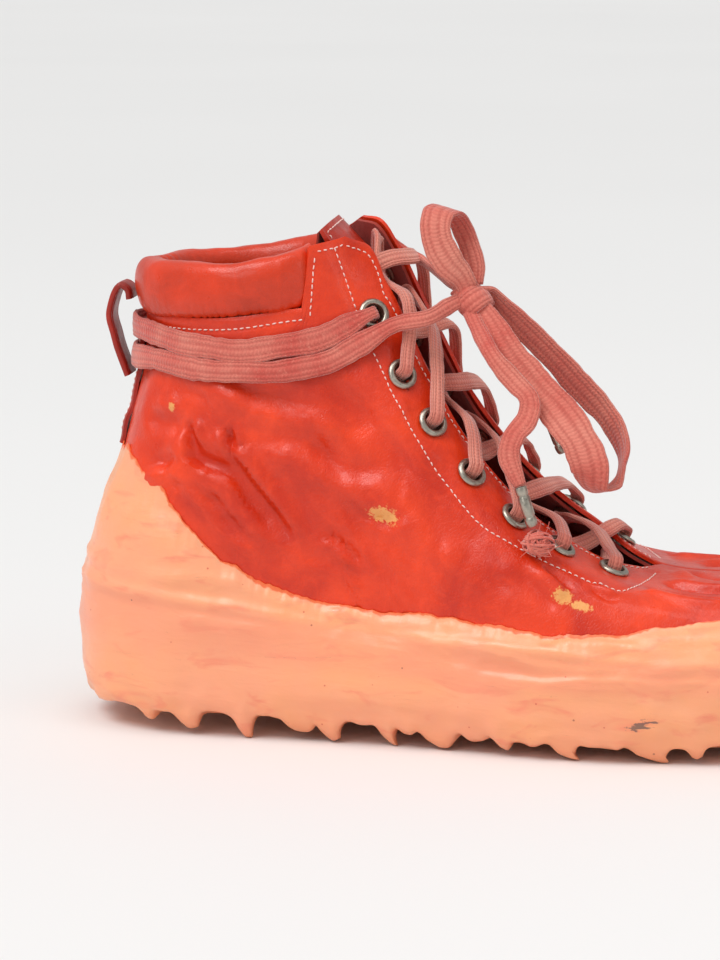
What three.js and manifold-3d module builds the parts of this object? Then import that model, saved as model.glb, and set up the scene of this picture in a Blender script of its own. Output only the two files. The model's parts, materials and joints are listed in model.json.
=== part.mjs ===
// A lace-up leather high-top boot for the right foot, with its sole dipped in rubber that has run into drips.
// Units are millimetres. +X points to the toe, +Y to the inner (medial) side of the foot and +Z up.
// The origin is on the ground, under the middle of the boot's length and width.
//
// The upper's outer surface is a smooth skin through a net of stations, which run from the middle of the heel
// round one side to the tip of the toe. Every leather, lining, stiffener and rubber piece is a patch of that
// skin with its own two depths below or above it, so the layers nest whatever the size of the boot.

import * as THREE from "three";
import { mergeVertices } from "three/addons/utils/BufferGeometryUtils.js";
import Module from "manifold-3d";

const wasm = await Module();
wasm.setup();

// ---- Driving dimensions ----
const BOOT_LENGTH = 295; // heel to toe, over the rubber
const BALL_WIDTH = 113; // across the rubber at the ball of the foot
const SHAFT_HEIGHT = 160; // ground to the top of the lace facings
const LEATHER = 1.6; // upper leather
const LINING = 1.0;
const STIFFENER = 1.0; // heel counter, toe puff and lace facings
const PLY_GAP = 0.8; // between the plies of the upper
const FIT_GAP = 0.5; // between pieces that meet
const RUBBER_FLARE = 5.5; // how far the rubber stands out from the leather at the sides of the sole
const HEEL_FLARE = 4; // how much further it stands out behind the heel
const RUBBER_EDGE = 1.1; // thickness of the rubber at its upper edge
const RUBBER_FIT = 0.9; // between the rubber and what it holds
const RUBBER_FLOOR = 4; // thickness of the rubber under the sole
const BOARD = 2.2; // lasting board
const SOCK = 3; // sock liner
const EYELET_COUNT = 7; // on each side
const EYELET_RADIUS = 5; // outside of the flange
const EYELET_HOLE = 3; // radius of the hole
const EYELET_WALL = 0.4;
const LACE_WIDTH = 8; // where it is drawn tight
const LACE_THICKNESS = 2;
const BOW_WIDTH = 12; // where it lies flat
const COLLAR_DEPTH = 11; // thickness of the padded roll
const COLLAR_BULGE = 2.5; // how far the roll stands out from the leather
const COLLAR_SEAM = 3.48; // level of the seam under the roll, in the net
const TONGUE_RISE = 6; // how far the tongue stands above the shaft
const STRAP_WIDTH = 12; // back strip and pull loop
const STRAP_THICKNESS = 1.6;

// ---- The skin ----
// Each station lists x from the back of the heel, half-width and z at five levels, for a boot of the net's
// size. The levels run from the feather line, where the upper meets the sole, to the rim of the shaft or the ridge.
const NET_LENGTH = 295;
const NET_WIDTH = 113;
const NET_HEIGHT = 160;
const NET = [
  [[11, 0, 40], [10.5, 0, 60], [15, 0, 86], [23, 0, 118], [23, 0, 151]], // middle of the heel
  [[17, 20, 40], [17, 22, 60], [21, 19.5, 86], [29, 17, 118], [30, 18, 151]],
  [[35, 31, 39.5], [34, 33, 59], [37, 30.5, 86], [43, 28, 118], [43, 28, 152]],
  [[60, 34, 38], [60, 36.5, 58], [58, 35, 86], [58, 33, 119], [58, 31.5, 153]],
  [[86, 36, 35.5], [86, 38.5, 55], [80, 36.5, 87], [74, 33.5, 121], [74, 29.5, 156]],
  [[105, 38, 33], [105, 40.5, 52], [98, 37.5, 84], [90, 31, 122], [88, 22, 159]],
  [[122, 41, 31], [122, 43.5, 50], [114, 38, 81], [104, 27, 122], [104, 0, 161]], // top of the ridge
  [[136, 44, 28.5], [136, 46.5, 47], [126, 39, 76], [117, 26, 108], [119, 0, 135]],
  [[150, 47, 26], [150, 49, 44], [141, 40, 69], [134, 25, 89], [133, 0, 101]],
  [[166, 49.5, 25], [166, 51, 41], [160, 41, 59], [155, 24, 69], [153, 0, 75]],
  [[186, 50.5, 24.5], [186, 51, 39], [183, 42, 51], [180, 23, 54.5], [180, 0, 57]], // end of the lace opening
  [[213, 49, 25], [213, 49, 38], [212, 40, 48], [211, 22, 50], [209, 0, 51.5]],
  [[243, 43, 28], [243, 42, 42], [242, 34, 51], [240, 18, 55], [239, 0, 56]],
  [[267, 31, 31], [266, 30, 45], [262, 24, 53], [257, 12, 57], [255, 0, 58]],
  [[280, 17, 33], [279, 16, 46], [274, 12, 53.5], [268, 6, 57], [265, 0, 58]],
  [[285, 0, 34], [284, 0, 47], [278, 0, 54], [272, 0, 57], [268, 0, 58]], // tip of the toe
];
const LAST = NET.length - 1;
const TOP = NET[0].length - 1;
const RIDGE_TOP = 6; // the station where the rim of the shaft meets the ridge
const TOE_SWING = 7; // the toe turns in towards the other foot
const MEDIAL_SHARE = 0.95; // the inner side is a little flatter
const NET_LACE = 2; // the lace's and the leather's thickness that the tables below were drawn for
const NET_LEATHER = 1.6;
const xScale = BOOT_LENGTH / NET_LENGTH;
const yScale = BALL_WIDTH / NET_WIDTH;
const zScale = SHAFT_HEIGHT / NET_HEIGHT;
// Thicker laces or leather carry the laces deeper, so that they pass each other and the tongue further off.
const PASSING_ROOM = Math.max(0, LACE_THICKNESS - NET_LACE) + Math.max(0, LEATHER - NET_LEATHER);
const UPPER_ROOM = 2.5 * PASSING_ROOM + Math.max(0, xScale / zScale - 1); // a flatter ridge needs some too
const LOWER_ROOM = 0.3 * PASSING_ROOM;
const TONGUE_ROOM = 2 * Math.max(0, LACE_THICKNESS - NET_LACE) + Math.max(0, LEATHER - NET_LEATHER);

const mirrored = ([x, w, z]) => [x, -w, z];
const beyond = (a, b) => a.map((value, k) => 2 * value - b[k]);

// A net point, with the net carried on past its edges.
function netPoint(i, j) {
  if (i < 0) return mirrored(netPoint(-i, j));
  if (i > LAST) return mirrored(netPoint(2 * LAST - i, j));
  if (j < 0) return beyond(netPoint(i, 0), netPoint(i, 1));
  if (j > TOP) {
    if (i >= RIDGE_TOP) return mirrored(netPoint(i, 2 * TOP - j));
    return beyond(netPoint(i, TOP), netPoint(i, TOP - 1));
  }
  return NET[i][j];
}

// Catmull-Rom interpolation of number lists.
function spline(p, t) {
  return p[1].map(
    (_, k) =>
      0.5 *
      (2 * p[1][k] +
        (p[2][k] - p[0][k]) * t +
        (2 * p[0][k] - 5 * p[1][k] + 4 * p[2][k] - p[3][k]) * t * t +
        (3 * p[1][k] - p[0][k] - 3 * p[2][k] + p[3][k]) * t * t * t),
  );
}

// The middle line of the boot, as y against x from the heel.
const middle = (x) => TOE_SWING * Math.max(0, (x / BOOT_LENGTH - 0.45) / 0.55) ** 2;

// A point on the skin. side is -1 for the outer (lateral) side and 1 for the inner side.
function skin(side, s, v) {
  const i = Math.min(Math.floor(s), LAST - 1);
  const j = Math.min(Math.max(Math.floor(v), 0), TOP - 1);
  const rows = [-1, 0, 1, 2].map((a) => spline([-1, 0, 1, 2].map((b) => netPoint(i + a, j + b)), v - j));
  const [x, w, z] = spline(rows, s - i);
  const share = side > 0 ? MEDIAL_SHARE : 1;
  return new THREE.Vector3(x * xScale, middle(x * xScale) + side * w * share * yScale, z * zScale);
}

// The outward normal of the skin.
function normal(side, s, v) {
  const step = 0.04;
  const at = (ds, dv) => skin(side, Math.min(Math.max(s + ds, 0), LAST), Math.min(Math.max(v + dv, 0), TOP));
  const along = at(step, 0).sub(at(-step, 0));
  const up = at(0, step).sub(at(0, -step));
  if (v >= TOP - 0.001 && s > THROAT - 0.01) return new THREE.Vector3(-along.z, 0, along.x).normalize();
  if (s <= 0.001) return new THREE.Vector3(-up.z, 0, up.x).normalize();
  if (s >= LAST - 0.001) return new THREE.Vector3(up.z, 0, -up.x).normalize();
  return up.cross(along).multiplyScalar(side).normalize();
}

// A point at height n above the skin.
const lifted = (side, s, v, n) => skin(side, s, v).addScaledVector(normal(side, s, v), n);

// Piecewise linear value at s through [s, value] pairs.
function through(pairs, s) {
  const k = Math.max(1, pairs.findIndex(([x]) => x >= s));
  const last = s > pairs[pairs.length - 1][0] ? pairs.length - 1 : k;
  const [a, b] = [pairs[last - 1], pairs[last]];
  const t = Math.min(1, Math.max(0, (s - a[0]) / (b[0] - a[0])));
  return a[1] + (b[1] - a[1]) * t;
}

// The front edge of each lace facing, as the level against the station. The two meet at the throat.
const EDGE = {
  "-1": [
    [5.2, 4], [5.6, 3.78], [6, 3.485], [6.5, 3.4], [7, 3.34], [8, 3.22], [9, 3.18], [9.8, 3.32], [10.2, 3.6], [10.4, 4],
  ],
  1: [
    [5.3, 4], [5.7, 3.8], [6, 3.62], [6.5, 3.5], [7, 3.44], [8, 3.36], [9, 3.32], [9.8, 3.42], [10.2, 3.65], [10.4, 4],
  ],
};
const THROAT = 10.4;
const FACING_REAR = 4.35; // the station where the padded collar ends and the front panel begins
const SHOULDER = 0.12; // the panel's top rises to the rim over this much of a station
// The rear edge of the facing's reinforcement, which the lining meets.
const FACING_LINE = [
  [5, 3.92], [5.35, 3.45], [6, 2.9], [7, 2.4], [8, 2.05], [9, 2], [9.8, 2.15], [10.2, 2.9], [10.4, 3.7],
];
// The rubber's upper edge. It stands high behind the heel and runs low along the waist.
const RUBBER_TOP = [
  [0, 2.15], [1.25, 2.06], [1.75, 1.9], [2.35, 1.4], [2.7, 1.08], [3.1, 0.78], [3.9, 0.56], [5.35, 0.66], [7.25, 0.82],
  [8.9, 0.94], [9.8, 1.12], [11, 1.6], [12.5, 1.7], [15, 1.5],
];

// The top border of the leather on one side.
function topLevel(side, s) {
  if (s < FACING_REAR) return COLLAR_SEAM;
  if (s < FACING_REAR + SHOULDER) return COLLAR_SEAM + ((s - FACING_REAR) / SHOULDER) * (TOP - COLLAR_SEAM);
  return s < EDGE[side][0][0] || s > THROAT ? TOP : through(EDGE[side], s);
}

// ---- Solids ----
const materials = {
  leather: new THREE.MeshStandardMaterial({ color: 0xd8432b, roughness: 0.42 }),
  darkLeather: new THREE.MeshStandardMaterial({ color: 0xa82c22, roughness: 0.5 }),
  lining: new THREE.MeshStandardMaterial({ color: 0xb8402f, roughness: 0.7 }),
  foam: new THREE.MeshStandardMaterial({ color: 0xe6ddc4, roughness: 0.95 }),
  board: new THREE.MeshStandardMaterial({ color: 0xa9855a, roughness: 0.9 }),
  steel: new THREE.MeshStandardMaterial({ color: 0x8c9094, roughness: 0.35, metalness: 1 }),
  pewter: new THREE.MeshStandardMaterial({ color: 0x8f8a80, roughness: 0.35, metalness: 1 }),
  rubber: new THREE.MeshStandardMaterial({ color: 0xfbab83, roughness: 0.45 }),
  lace: new THREE.MeshStandardMaterial({ color: 0xd9695c, roughness: 0.95 }),
};
const boot = new THREE.Group();

function add(name, geometry, material) {
  const mesh = new THREE.Mesh(geometry, material);
  mesh.name = name;
  boot.add(mesh);
  return mesh;
}

function geometryOf(points, faces) {
  const g = new THREE.BufferGeometry();
  g.setAttribute("position", new THREE.Float32BufferAttribute(points.flatMap((p) => [p.x, p.y, p.z]), 3));
  g.setIndex(faces.flat());
  return g;
}

function solidOf(geometry) {
  const plain = geometry.clone();
  plain.deleteAttribute("normal");
  plain.deleteAttribute("uv");
  const g = mergeVertices(plain, 1e-3);
  return new wasm.Manifold(
    new wasm.Mesh({
      numProp: 3,
      vertProperties: new Float32Array(g.attributes.position.array),
      triVerts: new Uint32Array(g.index.array),
    }),
  );
}

function geometryFrom(solid) {
  const m = solid.getMesh();
  const g = new THREE.BufferGeometry();
  const flat = new Float32Array(m.numVert * 3);
  for (let i = 0; i < m.numVert; i++) {
    flat.set(m.vertProperties.subarray(i * m.numProp, i * m.numProp + 3), i * 3);
  }
  g.setAttribute("position", new THREE.BufferAttribute(flat, 3));
  g.setIndex([...m.triVerts]);
  return g;
}

// A sheet is a list of corner pairs, one below and one above, with faces between them. Quads that share an
// edge join, and each free edge gets a wall, so that the sheet closes into one solid.
class Sheet {
  constructor() {
    this.keys = new Map();
    this.low = [];
    this.high = [];
    this.faces = [];
  }
  corner(low, high) {
    const key = [low, high].map((p) => [p.x, p.y, p.z].map((c) => Math.round(c * 500)).join()).join();
    if (!this.keys.has(key)) {
      this.keys.set(key, this.low.length);
      this.low.push(low);
      this.high.push(high);
    }
    return this.keys.get(key);
  }
  // Adds a grid of corners, rows by columns. turn is true where the grid's own order faces inwards.
  grid(rows, turn) {
    for (let r = 0; r + 1 < rows.length; r++) {
      for (let c = 0; c + 1 < rows[r].length; c++) {
        const quad = [rows[r][c], rows[r][c + 1], rows[r + 1][c + 1], rows[r + 1][c]];
        if (turn) quad.reverse();
        const [a, b, d, e] = quad;
        if (a !== b && b !== d && d !== a) this.faces.push([a, b, d]);
        if (a !== d && d !== e && e !== a) this.faces.push([a, d, e]);
      }
    }
  }
  geometry() {
    const n = this.low.length;
    const used = new Set();
    this.faces.forEach(([a, b, c]) => [[a, b], [b, c], [c, a]].forEach((e) => used.add(e.join())));
    const faces = [];
    this.faces.forEach(([a, b, c]) => {
      faces.push([a + n, b + n, c + n], [a, c, b]);
      [[a, b], [b, c], [c, a]].forEach(([p, q]) => {
        if (!used.has([q, p].join())) faces.push([p, q, q + n], [p, q + n, p + n]);
      });
    });
    return geometryOf([...this.low, ...this.high], faces);
  }
}

const steps = (from, to, count) => Array.from({ length: count + 1 }, (_, k) => from + ((to - from) * k) / count);

// A patch of the skin on one side, between the depths low and high. columns are stations, and level(s, t) gives
// the level at each share t of the patch's height, which rows lists.
function patch(sheet, side, columns, rows, level, low, high) {
  const at = (value, s, v) => (typeof value === "function" ? value(s, v) : value);
  const corners = rows.map((t) =>
    columns.map((s) => {
      const v = level(s, t);
      return sheet.corner(lifted(side, s, v, at(low, s, v)), lifted(side, s, v, at(high, s, v)));
    }),
  );
  sheet.grid(corners, side > 0);
}

// ---- The upper ----
const OUTER = [0, -LEATHER];
const STIFF = [OUTER[1] - PLY_GAP, OUTER[1] - PLY_GAP - STIFFENER];
const INNER = [STIFF[1] - PLY_GAP, STIFF[1] - PLY_GAP - LINING];
const SEAM_GAP = 0.02; // half of the back seam's opening, in stations
const SHELL_COLUMNS = [
  SEAM_GAP, 0.6, 1.2, 2, 3, FACING_REAR, FACING_REAR + SHOULDER, 5, 5.3, 5.6, 6.2, 7, 7.8, 8.6, 9.3, 9.9, 10.25,
  THROAT, 11.2, 12, 12.8, 13.5, 14.2, LAST,
];
// Shares of the height at which every layer has its rows. They lie closer towards the top, where the eyelets are.
const SHARES = steps(0, 1, 10).map((t) => t * (1.6 - 0.6 * t));

// A whole-cut shell: both sides in one piece, joined over the vamp and open along the heel seam.
function shell([high, low], top) {
  const sheet = new Sheet();
  for (const side of [-1, 1]) {
    patch(sheet, side, SHELL_COLUMNS, SHARES, (s, t) => t * top(side, s), low, high);
  }
  return sheet.geometry();
}

// The lining ends at the facings, and a little below the leather elsewhere.
const liningTop = (side, s) => {
  if (s < FACING_REAR) return COLLAR_SEAM - 0.06;
  if (s < 5) return COLLAR_SEAM - 0.06 + ((s - FACING_REAR) / (5 - FACING_REAR)) * 0.4;
  return s >= THROAT ? TOP : Math.min(through(FACING_LINE, s), TOP - 0.14) - 0.04;
};

// ---- Eyelets ----
const EYELET_FIRST = 5.8;
const EYELET_LAST = 9.9;
const EYELET_INSET = [[5.8, 0.36], [7, 0.4], [8.5, 0.58], [9.9, 0.36]]; // levels behind the facing's edge
const UNDER_FLANGE_RADIUS = EYELET_HOLE + 1.5;
const FLANGE = 0.8;
const FLANGE_LIFT = 0.8;
const UNDER_FLANGE_LIFT = STIFF[1] - 0.6;
const HOLE_CLEARANCE = 0.3;

const eyelets = {};
for (const side of [-1, 1]) {
  eyelets[side] = Array.from({ length: EYELET_COUNT }, (_, k) => {
    const s = EYELET_FIRST + ((EYELET_LAST - EYELET_FIRST) * k) / (EYELET_COUNT - 1);
    const v = through(EDGE[side], s) - through(EYELET_INSET, s);
    return { centre: skin(side, s, v), out: normal(side, s, v), s, v };
  });
}

// Turns a shape made round +Z so that it stands on the skin at an eyelet.
function standOn(geometry, { centre, out }) {
  geometry.applyQuaternion(new THREE.Quaternion().setFromUnitVectors(new THREE.Vector3(0, 0, 1), out));
  return geometry.translate(centre.x, centre.y, centre.z);
}

function eyelet(place) {
  const wall = EYELET_HOLE + EYELET_WALL;
  const profile = [
    [EYELET_HOLE, UNDER_FLANGE_LIFT - FLANGE],
    [UNDER_FLANGE_RADIUS, UNDER_FLANGE_LIFT - FLANGE],
    [UNDER_FLANGE_RADIUS, UNDER_FLANGE_LIFT],
    [wall, UNDER_FLANGE_LIFT],
    [wall, FLANGE_LIFT],
    [EYELET_RADIUS, FLANGE_LIFT],
    [EYELET_RADIUS - 0.7, FLANGE_LIFT + FLANGE],
    [EYELET_HOLE, FLANGE_LIFT + FLANGE],
    [EYELET_HOLE, UNDER_FLANGE_LIFT - FLANGE],
  ].map(([r, z]) => new THREE.Vector2(r, z));
  const ring = new THREE.LatheGeometry(profile, 10);
  return standOn(ring.rotateX(Math.PI / 2), place);
}

// Cuts the eyelets' holes through a sheet of the upper.
function punched(geometry, sides) {
  let solid = solidOf(geometry);
  for (const side of sides) {
    for (const place of eyelets[side]) {
      const punch = new THREE.CylinderGeometry(
        EYELET_HOLE + EYELET_WALL + HOLE_CLEARANCE, EYELET_HOLE + EYELET_WALL + HOLE_CLEARANCE, 9, 10,
      );
      solid = solid.subtract(solidOf(standOn(punch.rotateX(Math.PI / 2), place)));
    }
  }
  return geometryFrom(solid);
}

add("leather_upper", punched(shell(OUTER, topLevel), [-1, 1]), materials.leather);
add("upper_lining", shell(INNER, liningTop), materials.lining);

const FACING_COLUMNS = SHELL_COLUMNS.filter((s) => s >= 5 && s < THROAT);
const facingLevel = (side) => (s, t) => {
  const rear = through(FACING_LINE, s);
  return rear + t * (Math.min(topLevel(side, s), TOP) - 0.02 - rear);
};
for (const [side, name] of [[-1, "facing_lateral"], [1, "facing_medial"]]) {
  const sheet = new Sheet();
  patch(sheet, side, FACING_COLUMNS, steps(0, 1, 5), facingLevel(side), STIFF[1], STIFF[0]);
  add(name, punched(sheet.geometry(), [side]), materials.lining);
  eyelets[side].forEach((place, k) => {
    add(`eyelet_${side < 0 ? "lateral" : "medial"}_${k + 1}`, eyelet(place), materials.pewter);
  });
}

// A stiffener between leather and lining, across the middle of the heel or the toe.
function stiffener(columns, shares) {
  const sheet = new Sheet();
  for (const side of [-1, 1]) {
    patch(sheet, side, columns, shares, (s, t) => t * topLevel(side, s), STIFF[1], STIFF[0]);
  }
  return sheet.geometry();
}
add("heel_counter", stiffener([0, 0.6, 1.2, 2, 3], SHARES.slice(1, 6)), materials.board);
add("toe_puff", stiffener([12.8, 13.5, 14.2, LAST], SHARES.slice(1)), materials.board);

// ---- The sole ----
const BOTTOM = [[0, 6], [3, 6], [6, 5], [9, 3.4], [11, 4], [13, 6], [15, 9]]; // underside of the rubber, by station
const floorTop = (s) => through(BOTTOM, s) * zScale + RUBBER_FLOOR;
const featherZ = (s) => skin(-1, s, 0).z;

// A point of the sole's outline, moved out sideways by n.
function outline(side, s, n, z) {
  const out = normal(side, s, 0).setZ(0).normalize();
  return skin(side, s, 0).addScaledVector(out, n).setZ(z);
}

// A flat-lying plate inside the outline, between two heights.
function plate(columns, inset, low, high, halfWidth) {
  const sheet = new Sheet();
  for (const side of [-1, 1]) {
    const rows = [0, 0.5, 1].map((t) =>
      columns.map((s) => {
        const [a, b] = [side, -side].map((k) => outline(k, s, -inset, 0));
        const centre = a.clone().add(b).multiplyScalar(0.5);
        const reach = halfWidth ? Math.min(1, halfWidth / a.distanceTo(centre)) : 1;
        const p = centre.lerp(a, t * reach);
        return sheet.corner(p.clone().setZ(low(s)), p.clone().setZ(high(s)));
      }),
    );
    sheet.grid(rows, side < 0);
  }
  return sheet.geometry();
}
const SOLE_COLUMNS = [0, 0.6, 1.2, 2, 2.5, 3, 3.6, 4.4, 5.6, 7, 8.6, 9.6, 10.4, 11.2, 12, 12.8, 13.5, 14.2, LAST];
const boardTop = (s) => featherZ(s) - FIT_GAP;
const blockTop = (s) => boardTop(s) - BOARD - FIT_GAP;
const SHANK_THICKNESS = 1.4;
const SHANK_HALF_WIDTH = 7;
const SHANK_COLUMNS = [2.4, 3.4, 4.5, 6, 7.5];
const POCKET_COLUMNS = [2.3, 3.4, 4.5, 6, 7.6];
add("lasting_board", plate(SOLE_COLUMNS, 0.3, (s) => boardTop(s) - BOARD, boardTop), materials.board);
const shankTop = (s) => blockTop(s) - FIT_GAP;
const shank = plate(SHANK_COLUMNS, 0, (s) => shankTop(s) - SHANK_THICKNESS, shankTop, SHANK_HALF_WIDTH);
add("steel_shank", shank, materials.steel);
const pocketFloor = (s) => shankTop(s) - SHANK_THICKNESS - FIT_GAP;
const pocket = plate(POCKET_COLUMNS, 0, pocketFloor, (s) => blockTop(s) + 1, SHANK_HALF_WIDTH + FIT_GAP);
const block = solidOf(plate(SOLE_COLUMNS, 0.3, (s) => floorTop(s) + FIT_GAP, blockTop)).subtract(solidOf(pocket));
add("midsole_block", geometryFrom(block), materials.foam);
const sockInset = LEATHER + STIFFENER + LINING + 2 * PLY_GAP + FIT_GAP;
add("sock_liner", plate(SOLE_COLUMNS, sockInset + 1.4, featherZ, (s) => featherZ(s) + SOCK), materials.lining);

// The rubber: a cup dipped over the sole, thin at its upper edge and thick round the bottom.
const WALL_LEVELS = steps(0, 1, 6);
const flare = (s) => RUBBER_FLARE + HEEL_FLARE * Math.max(0, 1 - s / 2.5) ** 1.5;
const thick = (t, s) => RUBBER_EDGE + (flare(s) - RUBBER_EDGE) * (1 - t) ** 1.3;
function rubberCup() {
  const sheet = new Sheet();
  for (const side of [-1, 1]) {
    const column = (s) => {
      const bottom = through(BOTTOM, s) * zScale;
      const [a, b] = [side, -side].map((k) => outline(k, s, RUBBER_FIT, 0));
      const centre = a.clone().add(b).multiplyScalar(0.5);
      const floor = floorTop(s);
      const wall = featherZ(s) - floor;
      const pair = (low, high) => sheet.corner(low, high);
      const half = centre.clone().lerp(a, 0.5);
      return [
        pair(centre.clone().setZ(floor), centre.clone().setZ(bottom)),
        pair(half.clone().setZ(floor), half.clone().setZ(bottom)),
        pair(outline(side, s, RUBBER_FIT, floor), outline(side, s, flare(s) - 5, bottom)),
        pair(outline(side, s, RUBBER_FIT, floor + wall * 0.3), outline(side, s, flare(s) - 0.6, bottom + 5)),
        pair(outline(side, s, RUBBER_FIT, floor + wall * 0.6), outline(side, s, flare(s) + 0.6, bottom + 12)),
        ...WALL_LEVELS.map((t) => {
          const v = t * through(RUBBER_TOP, s);
          const inner = v === 0 ? outline(side, s, RUBBER_FIT, featherZ(s)) : lifted(side, s, v, RUBBER_FIT);
          return pair(inner, lifted(side, s, v, RUBBER_FIT + thick(t, s)));
        }),
      ];
    };
    const columns = SOLE_COLUMNS.map(column);
    const rows = columns[0].map((_, r) => columns.map((c) => c[r]));
    sheet.grid(rows, side > 0);
  }
  return sheet.geometry();
}

// Drips hang from the bottom edge and end on the ground. Each is a station, a side, a radius and a tip radius.
const DRIPS = [
  [1.2, -1, 4.5, 2.2], [2.6, -1, 5, 2.4], [3.6, -1, 4, 1.8], [4.6, -1, 4.2, 2], [6.6, -1, 4.5, 2.2],
  [8.6, -1, 5, 2.6], [10.3, -1, 4.5, 2.2], [11.6, -1, 5, 2.4], [1.2, 1, 4.5, 2.2], [3.2, 1, 5, 2.4],
  [5.6, 1, 4.5, 2], [8.4, 1, 5, 2.6], [10.6, 1, 4.5, 2.2], [11.8, 1, 5, 2.4],
];
const DRIP_INSET = 6; // from the rubber's side to the middle of a drip
let rubber = solidOf(rubberCup());
for (const [s, side, radius, tip] of DRIPS) {
  const top = through(BOTTOM, s) * zScale + 2;
  const drip = new THREE.CylinderGeometry(radius, tip, top, 10).rotateX(Math.PI / 2);
  const { x, y } = outline(side, s, flare(s) - DRIP_INSET, 0);
  rubber = rubber.add(solidOf(drip.translate(x, y, top / 2)));
}
add("rubber_dip", geometryFrom(rubber), materials.rubber);

// ---- The padded collar ----
const COLLAR_END = FACING_REAR - 0.12;
const COLLAR_STATIONS = [COLLAR_END, 3.6, 2.8, 2, 1.3, 0.7, 0.3];
const COLLAR_LEATHER = 1.2;
const COLLAR_MOUTH = 0.6; // the cover is open along its hidden lower edge, as an angle each way
const collarPath = [...COLLAR_STATIONS.map((s) => [-1, s]), [1, 0], ...COLLAR_STATIONS.toReversed().map((s) => [1, s])];

// A point of the collar's section at one station: angle 0 points out of the boot, a quarter turn points up.
function collarPoint(side, s, angle, shrink) {
  const seam = lifted(side, s, COLLAR_SEAM + 0.03, 0);
  const rim = lifted(side, s, TOP, 0);
  const out = normal(side, s, (COLLAR_SEAM + TOP) / 2).setZ(0).normalize();
  const halfHeight = (rim.z - seam.z) / 2;
  const centre = seam.clone().lerp(rim, 0.5).addScaledVector(out, COLLAR_BULGE - COLLAR_DEPTH / 2);
  const [a, b] = [COLLAR_DEPTH / 2 - shrink, halfHeight - shrink];
  return centre.addScaledVector(out, a * Math.cos(angle)).setZ(centre.z + b * Math.sin(angle));
}
function collarCover() {
  const sheet = new Sheet();
  const start = -Math.PI / 2 - 0.9 + COLLAR_MOUTH;
  const end = start + 2 * Math.PI - 2 * COLLAR_MOUTH;
  const rows = steps(start, end, 11).map((angle) =>
    collarPath.map(([side, s]) =>
      sheet.corner(collarPoint(side, s, angle, COLLAR_LEATHER), collarPoint(side, s, angle, 0)),
    ),
  );
  sheet.grid(rows, true);
  return sheet.geometry();
}

// A closed tube through rings of points, capped at both ends.
function tube(rings) {
  const n = rings[0].length;
  const faces = [];
  rings.slice(1).forEach((_, r) => {
    for (let k = 0; k < n; k++) {
      const [a, b] = [r * n + k, r * n + ((k + 1) % n)];
      faces.push([a, b, b + n], [a, b + n, a + n]);
    }
  });
  const last = (rings.length - 1) * n;
  for (let k = 1; k + 1 < n; k++) faces.push([0, k + 1, k], [last, last + k, last + k + 1]);
  return geometryOf(rings.flat(), faces);
}
add("collar_cover", collarCover(), materials.leather);
const foamShrink = COLLAR_LEATHER + FIT_GAP;
const foamRings = collarPath.map(([side, s]) =>
  Array.from({ length: 10 }, (_, k) => collarPoint(side, s, (2 * Math.PI * k) / 10, foamShrink)),
);
add("collar_foam", tube(foamRings), materials.foam);

// ---- The tongue ----
const TONGUE_BOTTOM = 10.8; // station of its sewn end, under the vamp
const TONGUE_DEPTHS = [[6, 14.2], [7, 14], [8, 14], [9, 12], [10, 9.4], [10.8, 7]]; // below the ridge
const TONGUE_WIDTHS = [[5, 17], [6, 15], [8, 17], [10, 15], [10.8, 13]]; // half-widths
const TONGUE_CURVE = [[5, 0.03], [6.5, 0.03], [8, 0.014], [10, 0.006]]; // sag of its section, per mm squared
const TONGUE_LEATHER = 1.1;
const TONGUE_LINING = 0.9;
const TONGUE_PAD = [[5, 3.4], [9, 2.6], [10.8, 1]];

// The tongue's outer face: u runs across from -1 to 1, and a station below 6 stands above the shaft.
function tonguePoint(u, s, depth) {
  const at = Math.max(s, RIDGE_TOP);
  const ahead = skin(-1, at + 0.15, TOP).sub(skin(-1, at, TOP)).setY(0).normalize();
  const inward = new THREE.Vector3(-ahead.z, 0, ahead.x).negate();
  const half = through(TONGUE_WIDTHS, s);
  const y = u * half;
  const slope = Math.max(1, xScale / zScale); // a flatter ridge lets the laces hang deeper
  const drop = through(TONGUE_DEPTHS, at) * slope + TONGUE_ROOM + depth + through(TONGUE_CURVE, s) * y * y;
  const p = skin(-1, at, TOP).addScaledVector(inward, drop);
  p.addScaledVector(ahead, (s - at) * (TONGUE_RISE + 5));
  return p.setY(p.y + y);
}
const TONGUE_STATIONS = [5, 5.5, 6, 6.8, 7.6, 8.4, 9.2, 10, 10.4, TONGUE_BOTTOM];
function tongueLayer(near, far, inset) {
  const sheet = new Sheet();
  const value = (d, s) => (typeof d === "function" ? d(s) : d);
  const rows = steps(-1, 1, 6).map((u) =>
    TONGUE_STATIONS.map((s) =>
      sheet.corner(tonguePoint(u * inset, s, value(far, s)), tonguePoint(u * inset, s, value(near, s))),
    ),
  );
  sheet.grid(rows, false);
  return sheet.geometry();
}
const padNear = TONGUE_LEATHER + FIT_GAP;
const padFar = (s) => padNear + through(TONGUE_PAD, s);
add("tongue_leather", tongueLayer(0, TONGUE_LEATHER, 1), materials.darkLeather);
add("tongue_foam", tongueLayer(padNear, padFar, 0.9), materials.foam);
const tongueBack = (s) => padFar(s) + FIT_GAP;
add("tongue_lining", tongueLayer(tongueBack, (s) => tongueBack(s) + TONGUE_LINING, 1), materials.lining);

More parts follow.
